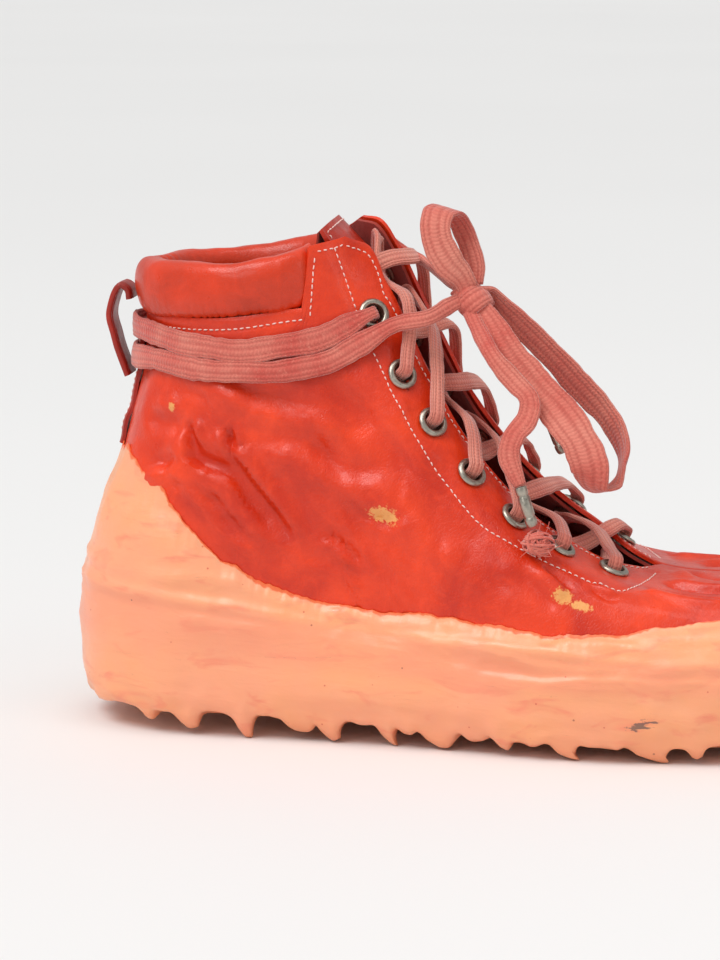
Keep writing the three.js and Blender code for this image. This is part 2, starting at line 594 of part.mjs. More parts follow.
// ---- Straps, and the flat lace ----
// A strap follows stops, each a point, the way that its flat side faces there, and its width there. Its section
// is one unit wide, and the length of each frame's normal widens it.
class StrapPath extends THREE.CatmullRomCurve3 {
  constructor(stops) {
    super(stops.map(([p]) => p), false, "centripetal");
    this.facings = stops.map(([, facing]) => facing);
    this.widths = stops.map(([, , width]) => width);
  }
  getSpacedPoints(count) {
    return this.getPoints(count);
  }
  computeFrenetFrames(count) {
    const frames = { tangents: [], normals: [], binormals: [] };
    for (let k = 0; k <= count; k++) {
      const at = (k / count) * (this.facings.length - 1);
      const i = Math.min(Math.floor(at), this.facings.length - 2);
      const tangent = this.getTangent(k / count);
      const facing = this.facings[i].clone().lerp(this.facings[i + 1], at - i);
      facing.addScaledVector(tangent, -facing.dot(tangent)).normalize();
      frames.tangents.push(tangent);
      frames.binormals.push(facing);
      const width = this.widths[i] + (this.widths[i + 1] - this.widths[i]) * (at - i);
      frames.normals.push(new THREE.Vector3().crossVectors(facing, tangent).multiplyScalar(width));
    }
    return frames;
  }
}
function strap(stops, thickness, perStop) {
  const t = thickness / 2;
  const corners = [[-0.5, 0], [-0.42, -t], [0.42, -t], [0.5, 0], [0.42, t], [-0.42, t]];
  const section = new THREE.Shape(corners.map(([x, y]) => new THREE.Vector2(x, y)));
  const extrudePath = new StrapPath(stops);
  return new THREE.ExtrudeGeometry(section, { steps: Math.round((stops.length - 1) * perStop), extrudePath });
}
const vec = (x, y, z) => new THREE.Vector3(x * xScale, y * yScale, z * zScale);
const onSkin = (side, s, v, n, width) => [lifted(side, s, v, n), normal(side, s, v), width];

const STRIP_LIFT = 0.4;
const stripTop = STRIP_LIFT + STRAP_THICKNESS;
const strip = new Sheet();
for (const side of [-1, 1]) {
  const level = (s, t) => 2.22 + t * (COLLAR_SEAM - 0.1 - 2.22);
  patch(strip, side, [0, 0.12, 0.27], steps(0, 1, 5), level, STRIP_LIFT, stripTop);
}
add("heel_strip", strip.geometry(), materials.darkLeather);

// The pull loop: a strap bowed out behind the strip, sewn down at both ends, with the lace passing under it.
const LOOP = [[17.6, 112], [15.6, 117], [13.4, 124], [12.4, 132], [13.2, 138], [15.6, 141.3], [17.8, 140], [18.5, 137]];
const loopStops = LOOP.map(([x, z], k) => {
  const [x0, z0] = LOOP[Math.max(k - 1, 0)];
  const [x1, z1] = LOOP[Math.min(k + 1, LOOP.length - 1)];
  return [vec(x, 0, z), new THREE.Vector3(-(z1 - z0), 0, x1 - x0).normalize(), STRAP_WIDTH];
});
add("pull_loop", strap(loopStops, STRAP_THICKNESS, 2), materials.darkLeather);

// ---- The lacing ----
const TIGHT_WIDTH = 4.4; // the lace is bunched where it passes through the eyelets
const OVER = FLANGE_LIFT + FLANGE + LACE_THICKNESS / 2 + 0.5; // height of the lace's middle over an eyelet
const UNDER = UNDER_FLANGE_LIFT - FLANGE - LACE_THICKNESS / 2 - 0.5; // and below one
// Each lace passes this far above or below the middle of a crossing, at the stations of the eyelets.
const CROSSING = [[5.8, 4.35], [6.5, 4.35], [7.2, 3.4], [9.9, 3.4]];
const CLIMB = 0.09; // stations between an eyelet and the place where its lace crosses the facing's edge

// Where a lace crosses the edge of a facing, over it or under it.
const overEdge = (side, k, climb, lift) => {
  const s = eyelets[side][k].s + climb;
  return onSkin(side, s, through(EDGE[side], s) + 0.04, lift, TIGHT_WIDTH);
};
function middleOf([a, up1], [b, up2], lift) {
  const up = up1.clone().add(up2).setY(0).normalize();
  return [a.clone().lerp(b, 0.5).addScaledVector(up, lift), up, TIGHT_WIDTH];
}
const turned = ([p, facing, width], flip) => [p, facing.clone().multiplyScalar(flip), width];

// The lace comes from below, through the eyelet, and out over the facing. flip turns its hidden face.
function throughEyelet(place, from, to, flip) {
  const towards = (p) => {
    const d = p.clone().sub(place.centre);
    return d.addScaledVector(place.out, -d.dot(place.out)).normalize();
  };
  const [back, on] = [towards(from), towards(to)];
  const at = (d, reach, lift) => place.centre.clone().addScaledVector(d, reach).addScaledVector(place.out, lift);
  const down = place.out.clone().negate();
  const stops = [
    [at(back, 3.4, UNDER - 0.3), place.out],
    [at(back, 0.6, UNDER + 0.3), place.out.clone().add(back)],
    [at(back, 0, UNDER + 2.4), back],
    [at(on, 0, 0), on],
    [at(on, 0.1, OVER - 1.6), on],
    [at(on, 1, OVER), on.clone().add(down)],
    [at(on, 3.4, OVER + 0.3), down],
  ];
  return stops.map(([p, facing]) => turned([p, facing, TIGHT_WIDTH], flip));
}

// One half of the lace, from the bar under the lowest eyelets up to the top one, crossing the gap each time.
// lift is 1 where it passes above the other half, and -1 below.
function lacing(side, lift) {
  const bottom = EYELET_COUNT - 1;
  const bar = middleOf(overEdge(-1, bottom, 0, UNDER), overEdge(1, bottom, 0, UNDER), 0);
  const start = overEdge(side, bottom, 0, UNDER);
  const along = start[0].clone().sub(bar[0]).normalize();
  const stops = [[bar[0].clone().addScaledVector(along, 0.2), bar[1], TIGHT_WIDTH], start];
  let flip = 1;
  let from = start[0];
  for (let k = bottom; k >= 0; k--) {
    const here = (bottom - k) % 2 ? -side : side;
    if (k === 0) {
      stops.push(...throughEyelet(eyelets[here][k], from, lifted(here, 5.2, 3.25, 0), flip).slice(0, 4));
      break;
    }
    const over = overEdge(here, k, -CLIMB, OVER);
    const under = overEdge(-here, k - 1, CLIMB, UNDER - 0.4);
    const spare = lift > 0 ? UPPER_ROOM : -LOWER_ROOM;
    const passBy = lift * through(CROSSING, eyelets[here][k].s) + spare;
    const pass = throughEyelet(eyelets[here][k], from, over[0], flip);
    flip = -flip;
    stops.push(...pass, turned(over, flip), turned(middleOf(over, under, passBy), flip), turned(under, flip));
    from = under[0];
  }
  return strap(stops, LACE_THICKNESS, 1);
}
add("lace_crossing_a", lacing(-1, 1), materials.lace);
add("lace_crossing_b", lacing(1, -1), materials.lace);

// The ends go once round the back of the shaft, under the pull loop, and meet in the knot.
const ON_LEATHER = LACE_THICKNESS / 2 + 0.5;
const ON_STRIP = stripTop + LACE_THICKNESS / 2 + 0.4;
const free = (x, y, z, facing, width) => [vec(x, y, z), new THREE.Vector3(...facing).normalize(), width];
const FORWARD = [0.9, 0, 0.44];

// The first stops of a wrap, out of a top eyelet and back along the shaft.
function outOfTop(side, s, v) {
  const place = eyelets[side][0];
  const to = lifted(side, s, v, 0);
  const stops = throughEyelet(place, to, to, -1).slice(4);
  return [[place.centre.clone().addScaledVector(place.out, 0.3), stops[0][1], TIGHT_WIDTH], ...stops];
}
const UPPER_WRAP = [
  ...outOfTop(-1, 5.2, 3.25),
  ...[[5.25, 3.26], [4.7, 3.19], [4, 3.17], [3, 3.18], [2, 3.23], [1.2, 3.29]].map(([s, v]) =>
    onSkin(-1, s, v, ON_LEATHER, LACE_WIDTH),
  ),
  onSkin(-1, 0.5, 3.32, ON_STRIP, LACE_WIDTH),
  onSkin(-1, 0, 3.33, ON_STRIP + 0.3, LACE_WIDTH),
  onSkin(1, 0.5, 3.32, ON_STRIP, LACE_WIDTH),
  ...[[1.2, 3.3], [2, 3.28], [3, 3.28], [4, 3.3], [4.6, 3.38], [5, 3.54], [5.35, 3.72]].map(([s, v]) =>
    onSkin(1, s, v, ON_LEATHER + 0.5, LACE_WIDTH),
  ),
  free(108, 13, 151, FORWARD, 6),
  free(116, 4, 147.5, FORWARD, 6),
  free(123, -6, 144, FORWARD, 5),
];
const UPPER_LEVEL = 3.25; // of the upper wrap, which the lower one keeps away from whatever the boot's height
const below = (v) => UPPER_LEVEL - (UPPER_LEVEL - v) / Math.min(1, zScale);
const LOWER_WRAP = [
  ...outOfTop(1, 5.2, 3.1),
  ...[[5.2, 3.12], [4.6, 3.03], [4, 2.99], [3, 2.97], [2, 2.98], [1.2, 3]].map(([s, v]) =>
    onSkin(1, s, below(v), ON_LEATHER, LACE_WIDTH),
  ),
  onSkin(1, 0.5, below(3.02), ON_STRIP, LACE_WIDTH),
  onSkin(-1, 0, below(3.03), ON_STRIP + 0.3, LACE_WIDTH),
  onSkin(-1, 0.5, below(3.02), ON_STRIP, LACE_WIDTH),
  ...[[1.2, 3], [2, 2.96], [3, 2.92], [4, 2.9], [4.8, 2.94], [5.4, 3.04]].map(([s, v]) =>
    onSkin(-1, s, below(v), ON_LEATHER, LACE_WIDTH),
  ),
  onSkin(-1, 6.12, 3.21, OVER + 1.4 + PASSING_ROOM, 5.5),
  onSkin(-1, 6.35, 3.42, OVER + 3.8, 5.5),
  free(119, -24, 134.5, [0.5, -0.8, 0.3], 5.5),
  free(124.5, -17.5, 136.5, [0.5, -0.8, 0.3], 5),
];
add("lace_wrap_upper", strap(UPPER_WRAP, LACE_THICKNESS, 1.6), materials.lace);
add("lace_wrap_lower", strap(LOWER_WRAP, LACE_THICKNESS, 1.6), materials.lace);

// ---- The bow ----
const KNOT = [130.5, -14, 140];
const KNOT_RADII = [4.5, 4.5, 7.5];
const knot = new THREE.SphereGeometry(1, 12, 8).scale(...KNOT_RADII).rotateY(0.25).translate(...vec(...KNOT).toArray());
add("bow_knot", knot, materials.lace);

const OUTWARD = [0.2, -1, 0.2];
const UPPER_LOOP = [
  free(128.2, -18, 148, OUTWARD, 8),
  free(124.5, -20, 152, OUTWARD, 10),
  free(121, -20.5, 158, OUTWARD, 10),
  free(119.5, -19.5, 164, OUTWARD, 10),
  free(120.5, -16, 168, [0, -0.6, 1], 10),
  free(123.5, -11.5, 167.5, [0.5, 0.5, 1], 10),
  free(126.5, -9, 163, [0.6, 1, 0.3], 9),
  free(129, -9, 157, [0.4, 1, 0.1], 8),
  free(131, -11, 149.5, [0.3, 1, 0], 7),
];
const LOWER_LOOP = [
  free(136, -10, 142, [0.7, 0.3, 0.7], 8),
  free(142, -8, 135, [0.7, 0.3, 0.7], 10),
  free(152, -7, 124, [0.7, 0.3, 0.7], BOW_WIDTH),
  free(163, -8, 112, [0.7, 0.2, 0.7], BOW_WIDTH),
  free(173, -10, 102, [0.8, 0.1, 0.6], BOW_WIDTH),
  free(178.5, -14, 94, [1, 0, 0.1], BOW_WIDTH),
  free(178, -20, 87, [0.8, 0, -0.6], BOW_WIDTH),
  free(174.5, -27, 82.5, [0.1, 0, -1], BOW_WIDTH),
  free(171.5, -33, 84, [-0.5, -0.6, -0.6], BOW_WIDTH),
  free(171.5, -36.5, 90, [-0.1, -1, 0.1], BOW_WIDTH),
  free(169.5, -35.5, 98, [0.2, -1, 0.3], BOW_WIDTH),
  free(162, -32, 107, [0.3, -1, 0.4], 11),
  free(153, -28, 116, OUTWARD, 10),
  free(144, -23.5, 126, OUTWARD, 8),
  free(136.8, -18.5, 135.5, OUTWARD, 6),
];
const LATERAL_TAIL = [
  free(133.5, -23, 132.5, OUTWARD, 5),
  free(139, -29.5, 124, OUTWARD, 6),
  free(146.5, -32, 116.5, OUTWARD, 7),
  free(151, -34.5, 111.5, OUTWARD, 7),
  free(150.5, -36.5, 106, [-0.3, -1, 0.2], 7),
  free(147, -38, 101, [-0.4, -1, 0.1], 7),
  free(145.5, -39, 95, [0, -1, 0], 7),
  free(147, -40, 89.5, OUTWARD, 6),
  free(149, -40.5, 85, OUTWARD, 4),
];
const MEDIAL_TAIL = [
  free(134.5, -9, 136, [0.5, 0.6, 0.5], 5),
  free(139, -3.5, 129, [0.5, 0.6, 0.5], 6),
  free(145, -1.5, 119, [0.6, 0.4, 0.6], 7),
  free(150.5, -2.5, 109.5, [0.6, 0.2, 0.6], 6),
  free(154.5, -5, 102, [0.6, 0, 0.6], 4),
];
add("bow_loop_upper", strap(UPPER_LOOP, LACE_THICKNESS, 2), materials.lace);
add("bow_loop_lower", strap(LOWER_LOOP, LACE_THICKNESS, 2), materials.lace);
add("lace_tail_lateral", strap(LATERAL_TAIL, LACE_THICKNESS, 2), materials.lace);
add("lace_tail_medial", strap(MEDIAL_TAIL, LACE_THICKNESS, 2), materials.lace);

// A metal aglet: a tube crimped on the lace's end, closed at its tip.
const AGLET_LENGTH = 13;
const AGLET_RADIUS = 1.9;
const AGLET_BORE = 1.4;
function aglet(stops, tip) {
  const end = stops[stops.length - 1][0];
  const towards = vec(...tip).sub(end).normalize();
  const profile = [
    [0, AGLET_LENGTH], [AGLET_RADIUS * 0.7, AGLET_LENGTH], [AGLET_RADIUS, AGLET_LENGTH - 1], [AGLET_RADIUS, 0],
    [AGLET_BORE, 0], [AGLET_BORE, 6], [0, 6],
  ];
  const points = profile.map(([r, y]) => new THREE.Vector2(r, y)).toReversed();
  const body = new THREE.LatheGeometry(points, 10).translate(0, 0.3, 0);
  body.applyQuaternion(new THREE.Quaternion().setFromUnitVectors(new THREE.Vector3(0, 1, 0), towards));
  const p = end.clone().addScaledVector(towards, 0.3);
  return [body.translate(p.x, p.y, p.z), end.clone().addScaledVector(towards, AGLET_LENGTH + 1)];
}
// On a lower boot the lateral aglet leans further out, clear of the bulge over the ball of the foot.
const lean = 30 * Math.max(0, 1 - zScale);
const [lateralAglet, lateralTip] = aglet(LATERAL_TAIL, [154, -41.5 - lean, 70]);
const [medialAglet] = aglet(MEDIAL_TAIL, [160, -9, 90]);
add("aglet_lateral", lateralAglet, materials.pewter);
add("aglet_medial", medialAglet, materials.pewter);

// The frayed knot below the lateral aglet.
const TUFT_RADIUS = 4.6;
const tuft = new THREE.SphereGeometry(TUFT_RADIUS, 10, 7).scale(1.15, 0.9, 0.9).rotateY(0.4);
add("lace_end_knot", tuft.translate(lateralTip.x + 1.6, lateralTip.y, lateralTip.z - TUFT_RADIUS), materials.lace);

// The origin goes under the middle of the finished boot.
const middleOfBoot = new THREE.Box3().setFromObject(boot).getCenter(new THREE.Vector3());
boot.position.set(-middleOfBoot.x, -middleOfBoot.y, 0);

export default boot;
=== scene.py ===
"""A lace-up leather boot with its sole dipped in rubber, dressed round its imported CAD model.

Sizes in this file's tables are millimetres in the boot's own frame, which starts at the back of the heel:
x runs to the toe, y to the inner side of the foot and z up. placed() turns them into the row frame, in
metres.
A place on the upper is a station, from 0 at the heel to LAST at the toe, and a level, from 0 at the sole to
TOP at the collar's rim or the ridge of the foot.
"""

import json
import math

import bpy
import numpy as np
from mathutils import Vector
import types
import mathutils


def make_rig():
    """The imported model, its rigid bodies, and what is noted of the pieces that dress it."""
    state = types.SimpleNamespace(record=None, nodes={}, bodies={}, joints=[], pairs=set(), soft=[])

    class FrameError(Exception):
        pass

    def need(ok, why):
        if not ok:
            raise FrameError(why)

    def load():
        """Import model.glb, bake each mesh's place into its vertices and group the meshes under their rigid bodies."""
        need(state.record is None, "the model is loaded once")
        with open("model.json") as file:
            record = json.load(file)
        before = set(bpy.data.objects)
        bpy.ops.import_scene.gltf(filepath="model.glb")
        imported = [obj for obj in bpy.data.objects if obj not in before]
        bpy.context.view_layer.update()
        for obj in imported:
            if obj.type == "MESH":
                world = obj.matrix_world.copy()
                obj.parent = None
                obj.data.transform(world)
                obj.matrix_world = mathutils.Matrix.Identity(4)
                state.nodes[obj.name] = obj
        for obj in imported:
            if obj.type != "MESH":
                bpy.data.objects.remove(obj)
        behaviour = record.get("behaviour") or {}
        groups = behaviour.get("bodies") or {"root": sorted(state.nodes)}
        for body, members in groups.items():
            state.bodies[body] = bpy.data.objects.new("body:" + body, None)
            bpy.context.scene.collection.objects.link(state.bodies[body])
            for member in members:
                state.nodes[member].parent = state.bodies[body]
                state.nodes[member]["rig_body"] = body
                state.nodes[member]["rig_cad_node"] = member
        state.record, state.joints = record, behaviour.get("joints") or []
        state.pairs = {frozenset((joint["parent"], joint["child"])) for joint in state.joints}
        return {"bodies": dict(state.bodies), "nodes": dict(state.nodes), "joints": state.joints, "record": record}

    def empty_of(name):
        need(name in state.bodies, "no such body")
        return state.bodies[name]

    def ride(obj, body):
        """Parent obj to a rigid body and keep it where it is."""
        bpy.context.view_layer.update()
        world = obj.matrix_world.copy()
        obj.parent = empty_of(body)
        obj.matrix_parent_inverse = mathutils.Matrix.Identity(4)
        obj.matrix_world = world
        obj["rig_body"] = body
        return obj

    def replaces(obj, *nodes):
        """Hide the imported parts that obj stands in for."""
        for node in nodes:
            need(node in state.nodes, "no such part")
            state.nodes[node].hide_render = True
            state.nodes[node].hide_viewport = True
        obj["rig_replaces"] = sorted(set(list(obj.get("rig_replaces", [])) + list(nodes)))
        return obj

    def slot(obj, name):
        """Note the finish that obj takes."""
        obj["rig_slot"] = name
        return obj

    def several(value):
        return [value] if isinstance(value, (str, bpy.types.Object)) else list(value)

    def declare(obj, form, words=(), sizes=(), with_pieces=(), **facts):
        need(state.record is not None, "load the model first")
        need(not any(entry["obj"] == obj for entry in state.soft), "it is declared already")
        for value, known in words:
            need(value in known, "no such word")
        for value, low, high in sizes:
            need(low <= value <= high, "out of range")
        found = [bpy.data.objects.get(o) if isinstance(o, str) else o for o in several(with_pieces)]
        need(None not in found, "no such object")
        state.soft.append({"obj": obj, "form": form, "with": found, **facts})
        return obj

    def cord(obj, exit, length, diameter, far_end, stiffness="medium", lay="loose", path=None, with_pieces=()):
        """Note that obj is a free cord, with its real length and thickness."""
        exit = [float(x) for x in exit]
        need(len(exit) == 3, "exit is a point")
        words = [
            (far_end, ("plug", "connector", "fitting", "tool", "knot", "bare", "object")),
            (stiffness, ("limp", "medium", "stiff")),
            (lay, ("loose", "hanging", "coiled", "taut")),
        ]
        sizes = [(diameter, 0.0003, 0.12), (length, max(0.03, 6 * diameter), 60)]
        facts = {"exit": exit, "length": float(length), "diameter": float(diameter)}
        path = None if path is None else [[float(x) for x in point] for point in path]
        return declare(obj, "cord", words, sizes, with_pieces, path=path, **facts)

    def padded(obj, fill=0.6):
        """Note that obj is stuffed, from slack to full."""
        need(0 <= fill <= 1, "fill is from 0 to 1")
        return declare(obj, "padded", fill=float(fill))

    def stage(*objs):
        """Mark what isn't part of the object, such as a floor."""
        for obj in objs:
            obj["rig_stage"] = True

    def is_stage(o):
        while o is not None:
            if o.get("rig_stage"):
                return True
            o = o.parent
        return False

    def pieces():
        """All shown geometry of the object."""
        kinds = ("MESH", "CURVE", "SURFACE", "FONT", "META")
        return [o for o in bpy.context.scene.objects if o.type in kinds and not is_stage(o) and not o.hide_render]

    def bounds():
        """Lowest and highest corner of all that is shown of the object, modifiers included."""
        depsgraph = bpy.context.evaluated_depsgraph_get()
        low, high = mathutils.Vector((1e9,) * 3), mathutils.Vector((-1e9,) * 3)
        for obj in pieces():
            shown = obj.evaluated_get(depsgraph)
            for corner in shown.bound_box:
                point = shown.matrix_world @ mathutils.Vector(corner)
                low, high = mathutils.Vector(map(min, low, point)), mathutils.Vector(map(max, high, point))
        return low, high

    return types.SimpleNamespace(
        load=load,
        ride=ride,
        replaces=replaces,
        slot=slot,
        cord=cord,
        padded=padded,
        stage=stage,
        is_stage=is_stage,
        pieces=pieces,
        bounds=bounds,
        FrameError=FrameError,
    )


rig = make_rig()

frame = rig.load()
CAD_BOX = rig.bounds()

bl_info = {
    "name": "Dipped leather boot",
    "version": (1, 0, 0),
    "blender": (4, 5, 0),
    "location": "View3D > Sidebar > Boot",
    "description": "Builds the visible pieces of a leather boot with a dipped rubber sole",
    "category": "Add Mesh",
}

MM = 0.001
ORIGIN = np.array([-146.0, 0.48, 0.0])


def linear(code):
    """A colour written as sRGB hex, as the linear numbers that Blender's sockets hold."""
    parts = [int(code[k : k + 2], 16) / 255 for k in (1, 3, 5)]
    return tuple(c / 12.92 if c <= 0.04045 else ((c + 0.055) / 1.055) ** 2.4 for c in parts)


def placed(points):
    """Points of the boot's own frame in the row frame, in metres."""
    return (np.asarray(points, float) + ORIGIN) * MM


# ---- Sizes and colours that a user would change ----


class BootSizes(bpy.types.PropertyGroup):
    """Sizes of the boot's details."""

    crease_depth: bpy.props.FloatProperty(
        name="Crease depth",
        description="Depth of the deepest creases in the leather",
        default=0.0034,
        unit="LENGTH",
    )
    stitch_pitch: bpy.props.FloatProperty(
        name="Stitch pitch", description="From one stitch to the next", default=0.0021, unit="LENGTH"
    )
    thread: bpy.props.FloatProperty(
        name="Thread", description="Width of the sewing thread", default=0.00044, unit="LENGTH"
    )
    grain: bpy.props.FloatProperty(
        name="Leather grain",
        description="Width of a cell of the leather's grain",
        default=0.0009,
        unit="LENGTH",
    )
    lace_ribs: bpy.props.IntProperty(
        name="Lace ribs", description="Lengthwise ribs across one face of the flat lace", default=7
    )
    ledge: bpy.props.FloatProperty(
        name="Dip ledge",
        description="Height of the ledges that each dip left in the rubber",
        default=0.0017,
        unit="LENGTH",
    )


def colour_property(name, description, code):
    """A colour that a user may change."""
    return bpy.props.FloatVectorProperty(
        name=name, description=description, subtype="COLOR", size=3, min=0, max=1, default=linear(code)
    )


class BootColours(bpy.types.PropertyGroup):
    """Colours of the boot's materials."""

    leather: colour_property("Leather", "Glazed leather of the upper", "#F04215")
    # the deep tone is the dye lying thick, and in the upper's creases it is also painted shade
    leather_deep_and_crease_shade: colour_property("Leather, deep", "The upper's leather where the dye lies thick", "#C92A0B")
    collar: colour_property("Collar", "Leather of the padded collar", "#E43C14")
    strap: colour_property("Straps", "Dark leather of the tongue and straps", "#B82A18")
    lining: colour_property("Lining", "Unglazed leather inside the boot", "#B03A2C")
    scuff: colour_property("Scuff", "Bare leather where the dye has rubbed off", "#EDA35C")
    rubber: colour_property("Rubber", "Dipped rubber", "#FAA67F")
    rubber_pink: colour_property("Rubber, pink", "Blotches in the rubber", "#F38568")
    rubber_film: colour_property("Rubber film", "The thin film at the rubber's upper edge", "#F2703F")
    lace: colour_property("Lace", "Dyed cotton lace", "#CC564B")
    lace_pale: colour_property("Lace, pale", "The lace where the dye has faded", "#EA9A86")
    thread: colour_property("Thread", "Sewing thread", "#F6DAD2")
    metal: colour_property("Metal", "Eyelets and aglets", "#BDB6A8")


# ---- The skin of the upper, as in the part's source ----
NET = [
    [[11, 0, 40], [10.5, 0, 60], [15, 0, 86], [23, 0, 118], [23, 0, 151]],
    [[17, 20, 40], [17, 22, 60], [21, 19.5, 86], [29, 17, 118], [30, 18, 151]],
    [[35, 31, 39.5], [34, 33, 59], [37, 30.5, 86], [43, 28, 118], [43, 28, 152]],
    [[60, 34, 38], [60, 36.5, 58], [58, 35, 86], [58, 33, 119], [58, 31.5, 153]],
    [[86, 36, 35.5], [86, 38.5, 55], [80, 36.5, 87], [74, 33.5, 121], [74, 29.5, 156]],
    [[105, 38, 33], [105, 40.5, 52], [98, 37.5, 84], [90, 31, 122], [88, 22, 159]],
    [[122, 41, 31], [122, 43.5, 50], [114, 38, 81], [104, 27, 122], [104, 0, 161]],
    [[136, 44, 28.5], [136, 46.5, 47], [126, 39, 76], [117, 26, 108], [119, 0, 135]],
    [[150, 47, 26], [150, 49, 44], [141, 40, 69], [134, 25, 89], [133, 0, 101]],
    [[166, 49.5, 25], [166, 51, 41], [160, 41, 59], [155, 24, 69], [153, 0, 75]],
    [[186, 50.5, 24.5], [186, 51, 39], [183, 42, 51], [180, 23, 54.5], [180, 0, 57]],
    [[213, 49, 25], [213, 49, 38], [212, 40, 48], [211, 22, 50], [209, 0, 51.5]],
    [[243, 43, 28], [243, 42, 42], [242, 34, 51], [240, 18, 55], [239, 0, 56]],
    [[267, 31, 31], [266, 30, 45], [262, 24, 53], [257, 12, 57], [255, 0, 58]],
    [[280, 17, 33], [279, 16, 46], [274, 12, 53.5], [268, 6, 57], [265, 0, 58]],
    [[285, 0, 34], [284, 0, 47], [278, 0, 54], [272, 0, 57], [268, 0, 58]],
]
LAST = len(NET) - 1
TOP = len(NET[0]) - 1
RIDGE_TOP = 6
THROAT = 10.4
FACING_REAR = 4.35
SHOULDER = 0.12
COLLAR_SEAM = 3.48
BOOT_LENGTH = 295
TOE_SWING = 7
MEDIAL_SHARE = 0.95
FACING_RISE = 4.5
LATERAL, MEDIAL = -1, 1
EDGE = {
    LATERAL: [
        (5.2, 4), (5.6, 3.78), (6, 3.485), (6.5, 3.4), (7, 3.34), (8, 3.22), (9, 3.18), (9.8, 3.32),
        (10.2, 3.6), (10.4, 4),
    ],
    MEDIAL: [
        (5.3, 4), (5.7, 3.8), (6, 3.62), (6.5, 3.5), (7, 3.44), (8, 3.36), (9, 3.32), (9.8, 3.42),
        (10.2, 3.65), (10.4, 4),
    ],
}
FACING_LINE = [
    (5, 3.92), (5.35, 3.45), (6, 2.9), (7, 2.4), (8, 2.05), (9, 2), (9.8, 2.15), (10.2, 2.9), (10.4, 3.7),
]
RUBBER_TOP = [
    (0, 2.15), (1.25, 2.06), (1.75, 1.9), (2.35, 1.4), (2.7, 1.08), (3.1, 0.78), (3.9, 0.56), (5.35, 0.66),
    (7.25, 0.82), (8.9, 0.94), (9.8, 1.12), (11, 1.6), (12.5, 1.7), (15, 1.5),
]
BOTTOM = [(0, 6), (3, 6), (6, 5), (9, 3.4), (11, 4), (13, 6), (15, 9)]


def through(pairs, s):
    """Piecewise linear value at s through (s, value) pairs."""
    x, y = zip(*pairs)
    return np.interp(s, x, y)


def padded_net():
    """The net with one more row of points past each of its edges."""

    def point(i, j):
        if i < 0 or i > LAST:
            x, w, z = point(-i if i < 0 else 2 * LAST - i, j)
            return np.array([x, -w, z])
        if j < 0:
            return 2 * point(i, 0) - point(i, 1)
        if j > TOP and i >= RIDGE_TOP:
            return point(i, 2 * TOP - j) * [1, -1, 1]
        if j > TOP:
            return 2 * point(i, TOP) - point(i, TOP - 1)
        return np.array(NET[i][j], float)

    return np.array([[point(i, j) for j in range(-1, TOP + 2)] for i in range(-1, LAST + 2)])


PADDED = padded_net()


def smooth(x):
    """From 0 to 1, eased at both ends."""
    x = np.clip(x, 0, 1)
    return x * x * (3 - 2 * x)


def spline_weights(t):
    """How much each of four points counts, at t between the second and the third."""
    weights = (-t + 2 * t**2 - t**3, 2 - 5 * t**2 + 3 * t**3, t + 4 * t**2 - 3 * t**3, t**3 - t**2)
    return 0.5 * np.stack(weights, -1)


def skin(side, s, v):
    """Points of the skin at station s and level v."""
    s, v = np.broadcast_arrays(np.asarray(s, float), np.asarray(v, float))
    i = np.clip(np.floor(s).astype(int), 0, LAST - 1)
    j = np.clip(np.floor(v).astype(int), 0, TOP - 1)
    along, up = spline_weights(s - i), spline_weights(v - j)
    four = range(4)
    p = sum((along[..., a] * up[..., b])[..., None] * PADDED[i + a, j + b] for a in four for b in four)
    if side > 0:
        # worn open, the inner quarter's lace edge stands a little higher than the outer one's
        spread = smooth(s - 4.7) * smooth((10.3 - s) / 0.8) * smooth(v - 2.3)
        p = p + np.stack([0 * s, 0 * s, FACING_RISE * spread], -1)
    x = p[..., 0]
    middle = TOE_SWING * np.maximum(0, (x / BOOT_LENGTH - 0.45) / 0.55) ** 2
    return np.stack([x, middle + side * p[..., 1] * (MEDIAL_SHARE if side > 0 else 1), p[..., 2]], -1)


def unit(v):
    """Vectors of length one."""
    v = np.asarray(v, float)
    return v / np.maximum(np.linalg.norm(v, axis=-1, keepdims=True), 1e-12)


def normal(side, s, v):
    """The skin's outward normal."""
    s, v = np.broadcast_arrays(np.asarray(s, float), np.asarray(v, float))
    step = 0.04

    def at(ds, dv):
        return skin(side, np.clip(s + ds, 0, LAST), np.clip(v + dv, 0, TOP))

    along = at(step, 0) - at(-step, 0)
    up = at(0, step) - at(0, -step)
    n = np.cross(up, along) * side
    zero = np.zeros(s.shape)
    ridge = np.stack([-along[..., 2], zero, along[..., 0]], -1)
    heel = np.stack([-up[..., 2], zero, up[..., 0]], -1)
    n = np.where(((v >= TOP - 0.001) & (s > THROAT - 0.01))[..., None], ridge, n)
    flat = ~((v >= TOP - 0.001) & (s > THROAT - 0.01))
    n = np.where(((s <= 0.001) & flat)[..., None], heel, n)
    n = np.where(((s >= LAST - 0.001) & flat)[..., None], -heel, n)
    return unit(n)


def lifted(side, s, v, n):
    """Points at height n above the skin."""
    return skin(side, s, v) + normal(side, s, v) * np.asarray(n, float)[..., None]


def top_level(side, s):
    """The leather's top border."""
    s = np.asarray(s, float)
    shoulder = COLLAR_SEAM + np.clip((s - FACING_REAR) / SHOULDER, 0, 1) * (TOP - COLLAR_SEAM)
    return np.where((s < EDGE[side][0][0]) | (s > THROAT), shoulder, through(EDGE[side], s))


def waves(points, size, seed, count=16):
    """Smooth lumps of about that size, mostly from -1 to 1."""
    rng = np.random.default_rng(seed)
    directions = unit(rng.normal(size=(count, 3)))
    phases = rng.uniform(0, 2 * math.pi, count)
    scales = rng.uniform(0.7, 1.5, count)
    total = np.zeros(points.shape[:-1])
    for d, phase, scale in zip(directions, phases, scales):
        total += np.sin(points @ d * (2 * math.pi / (size * scale)) + phase)
    return total / math.sqrt(count)


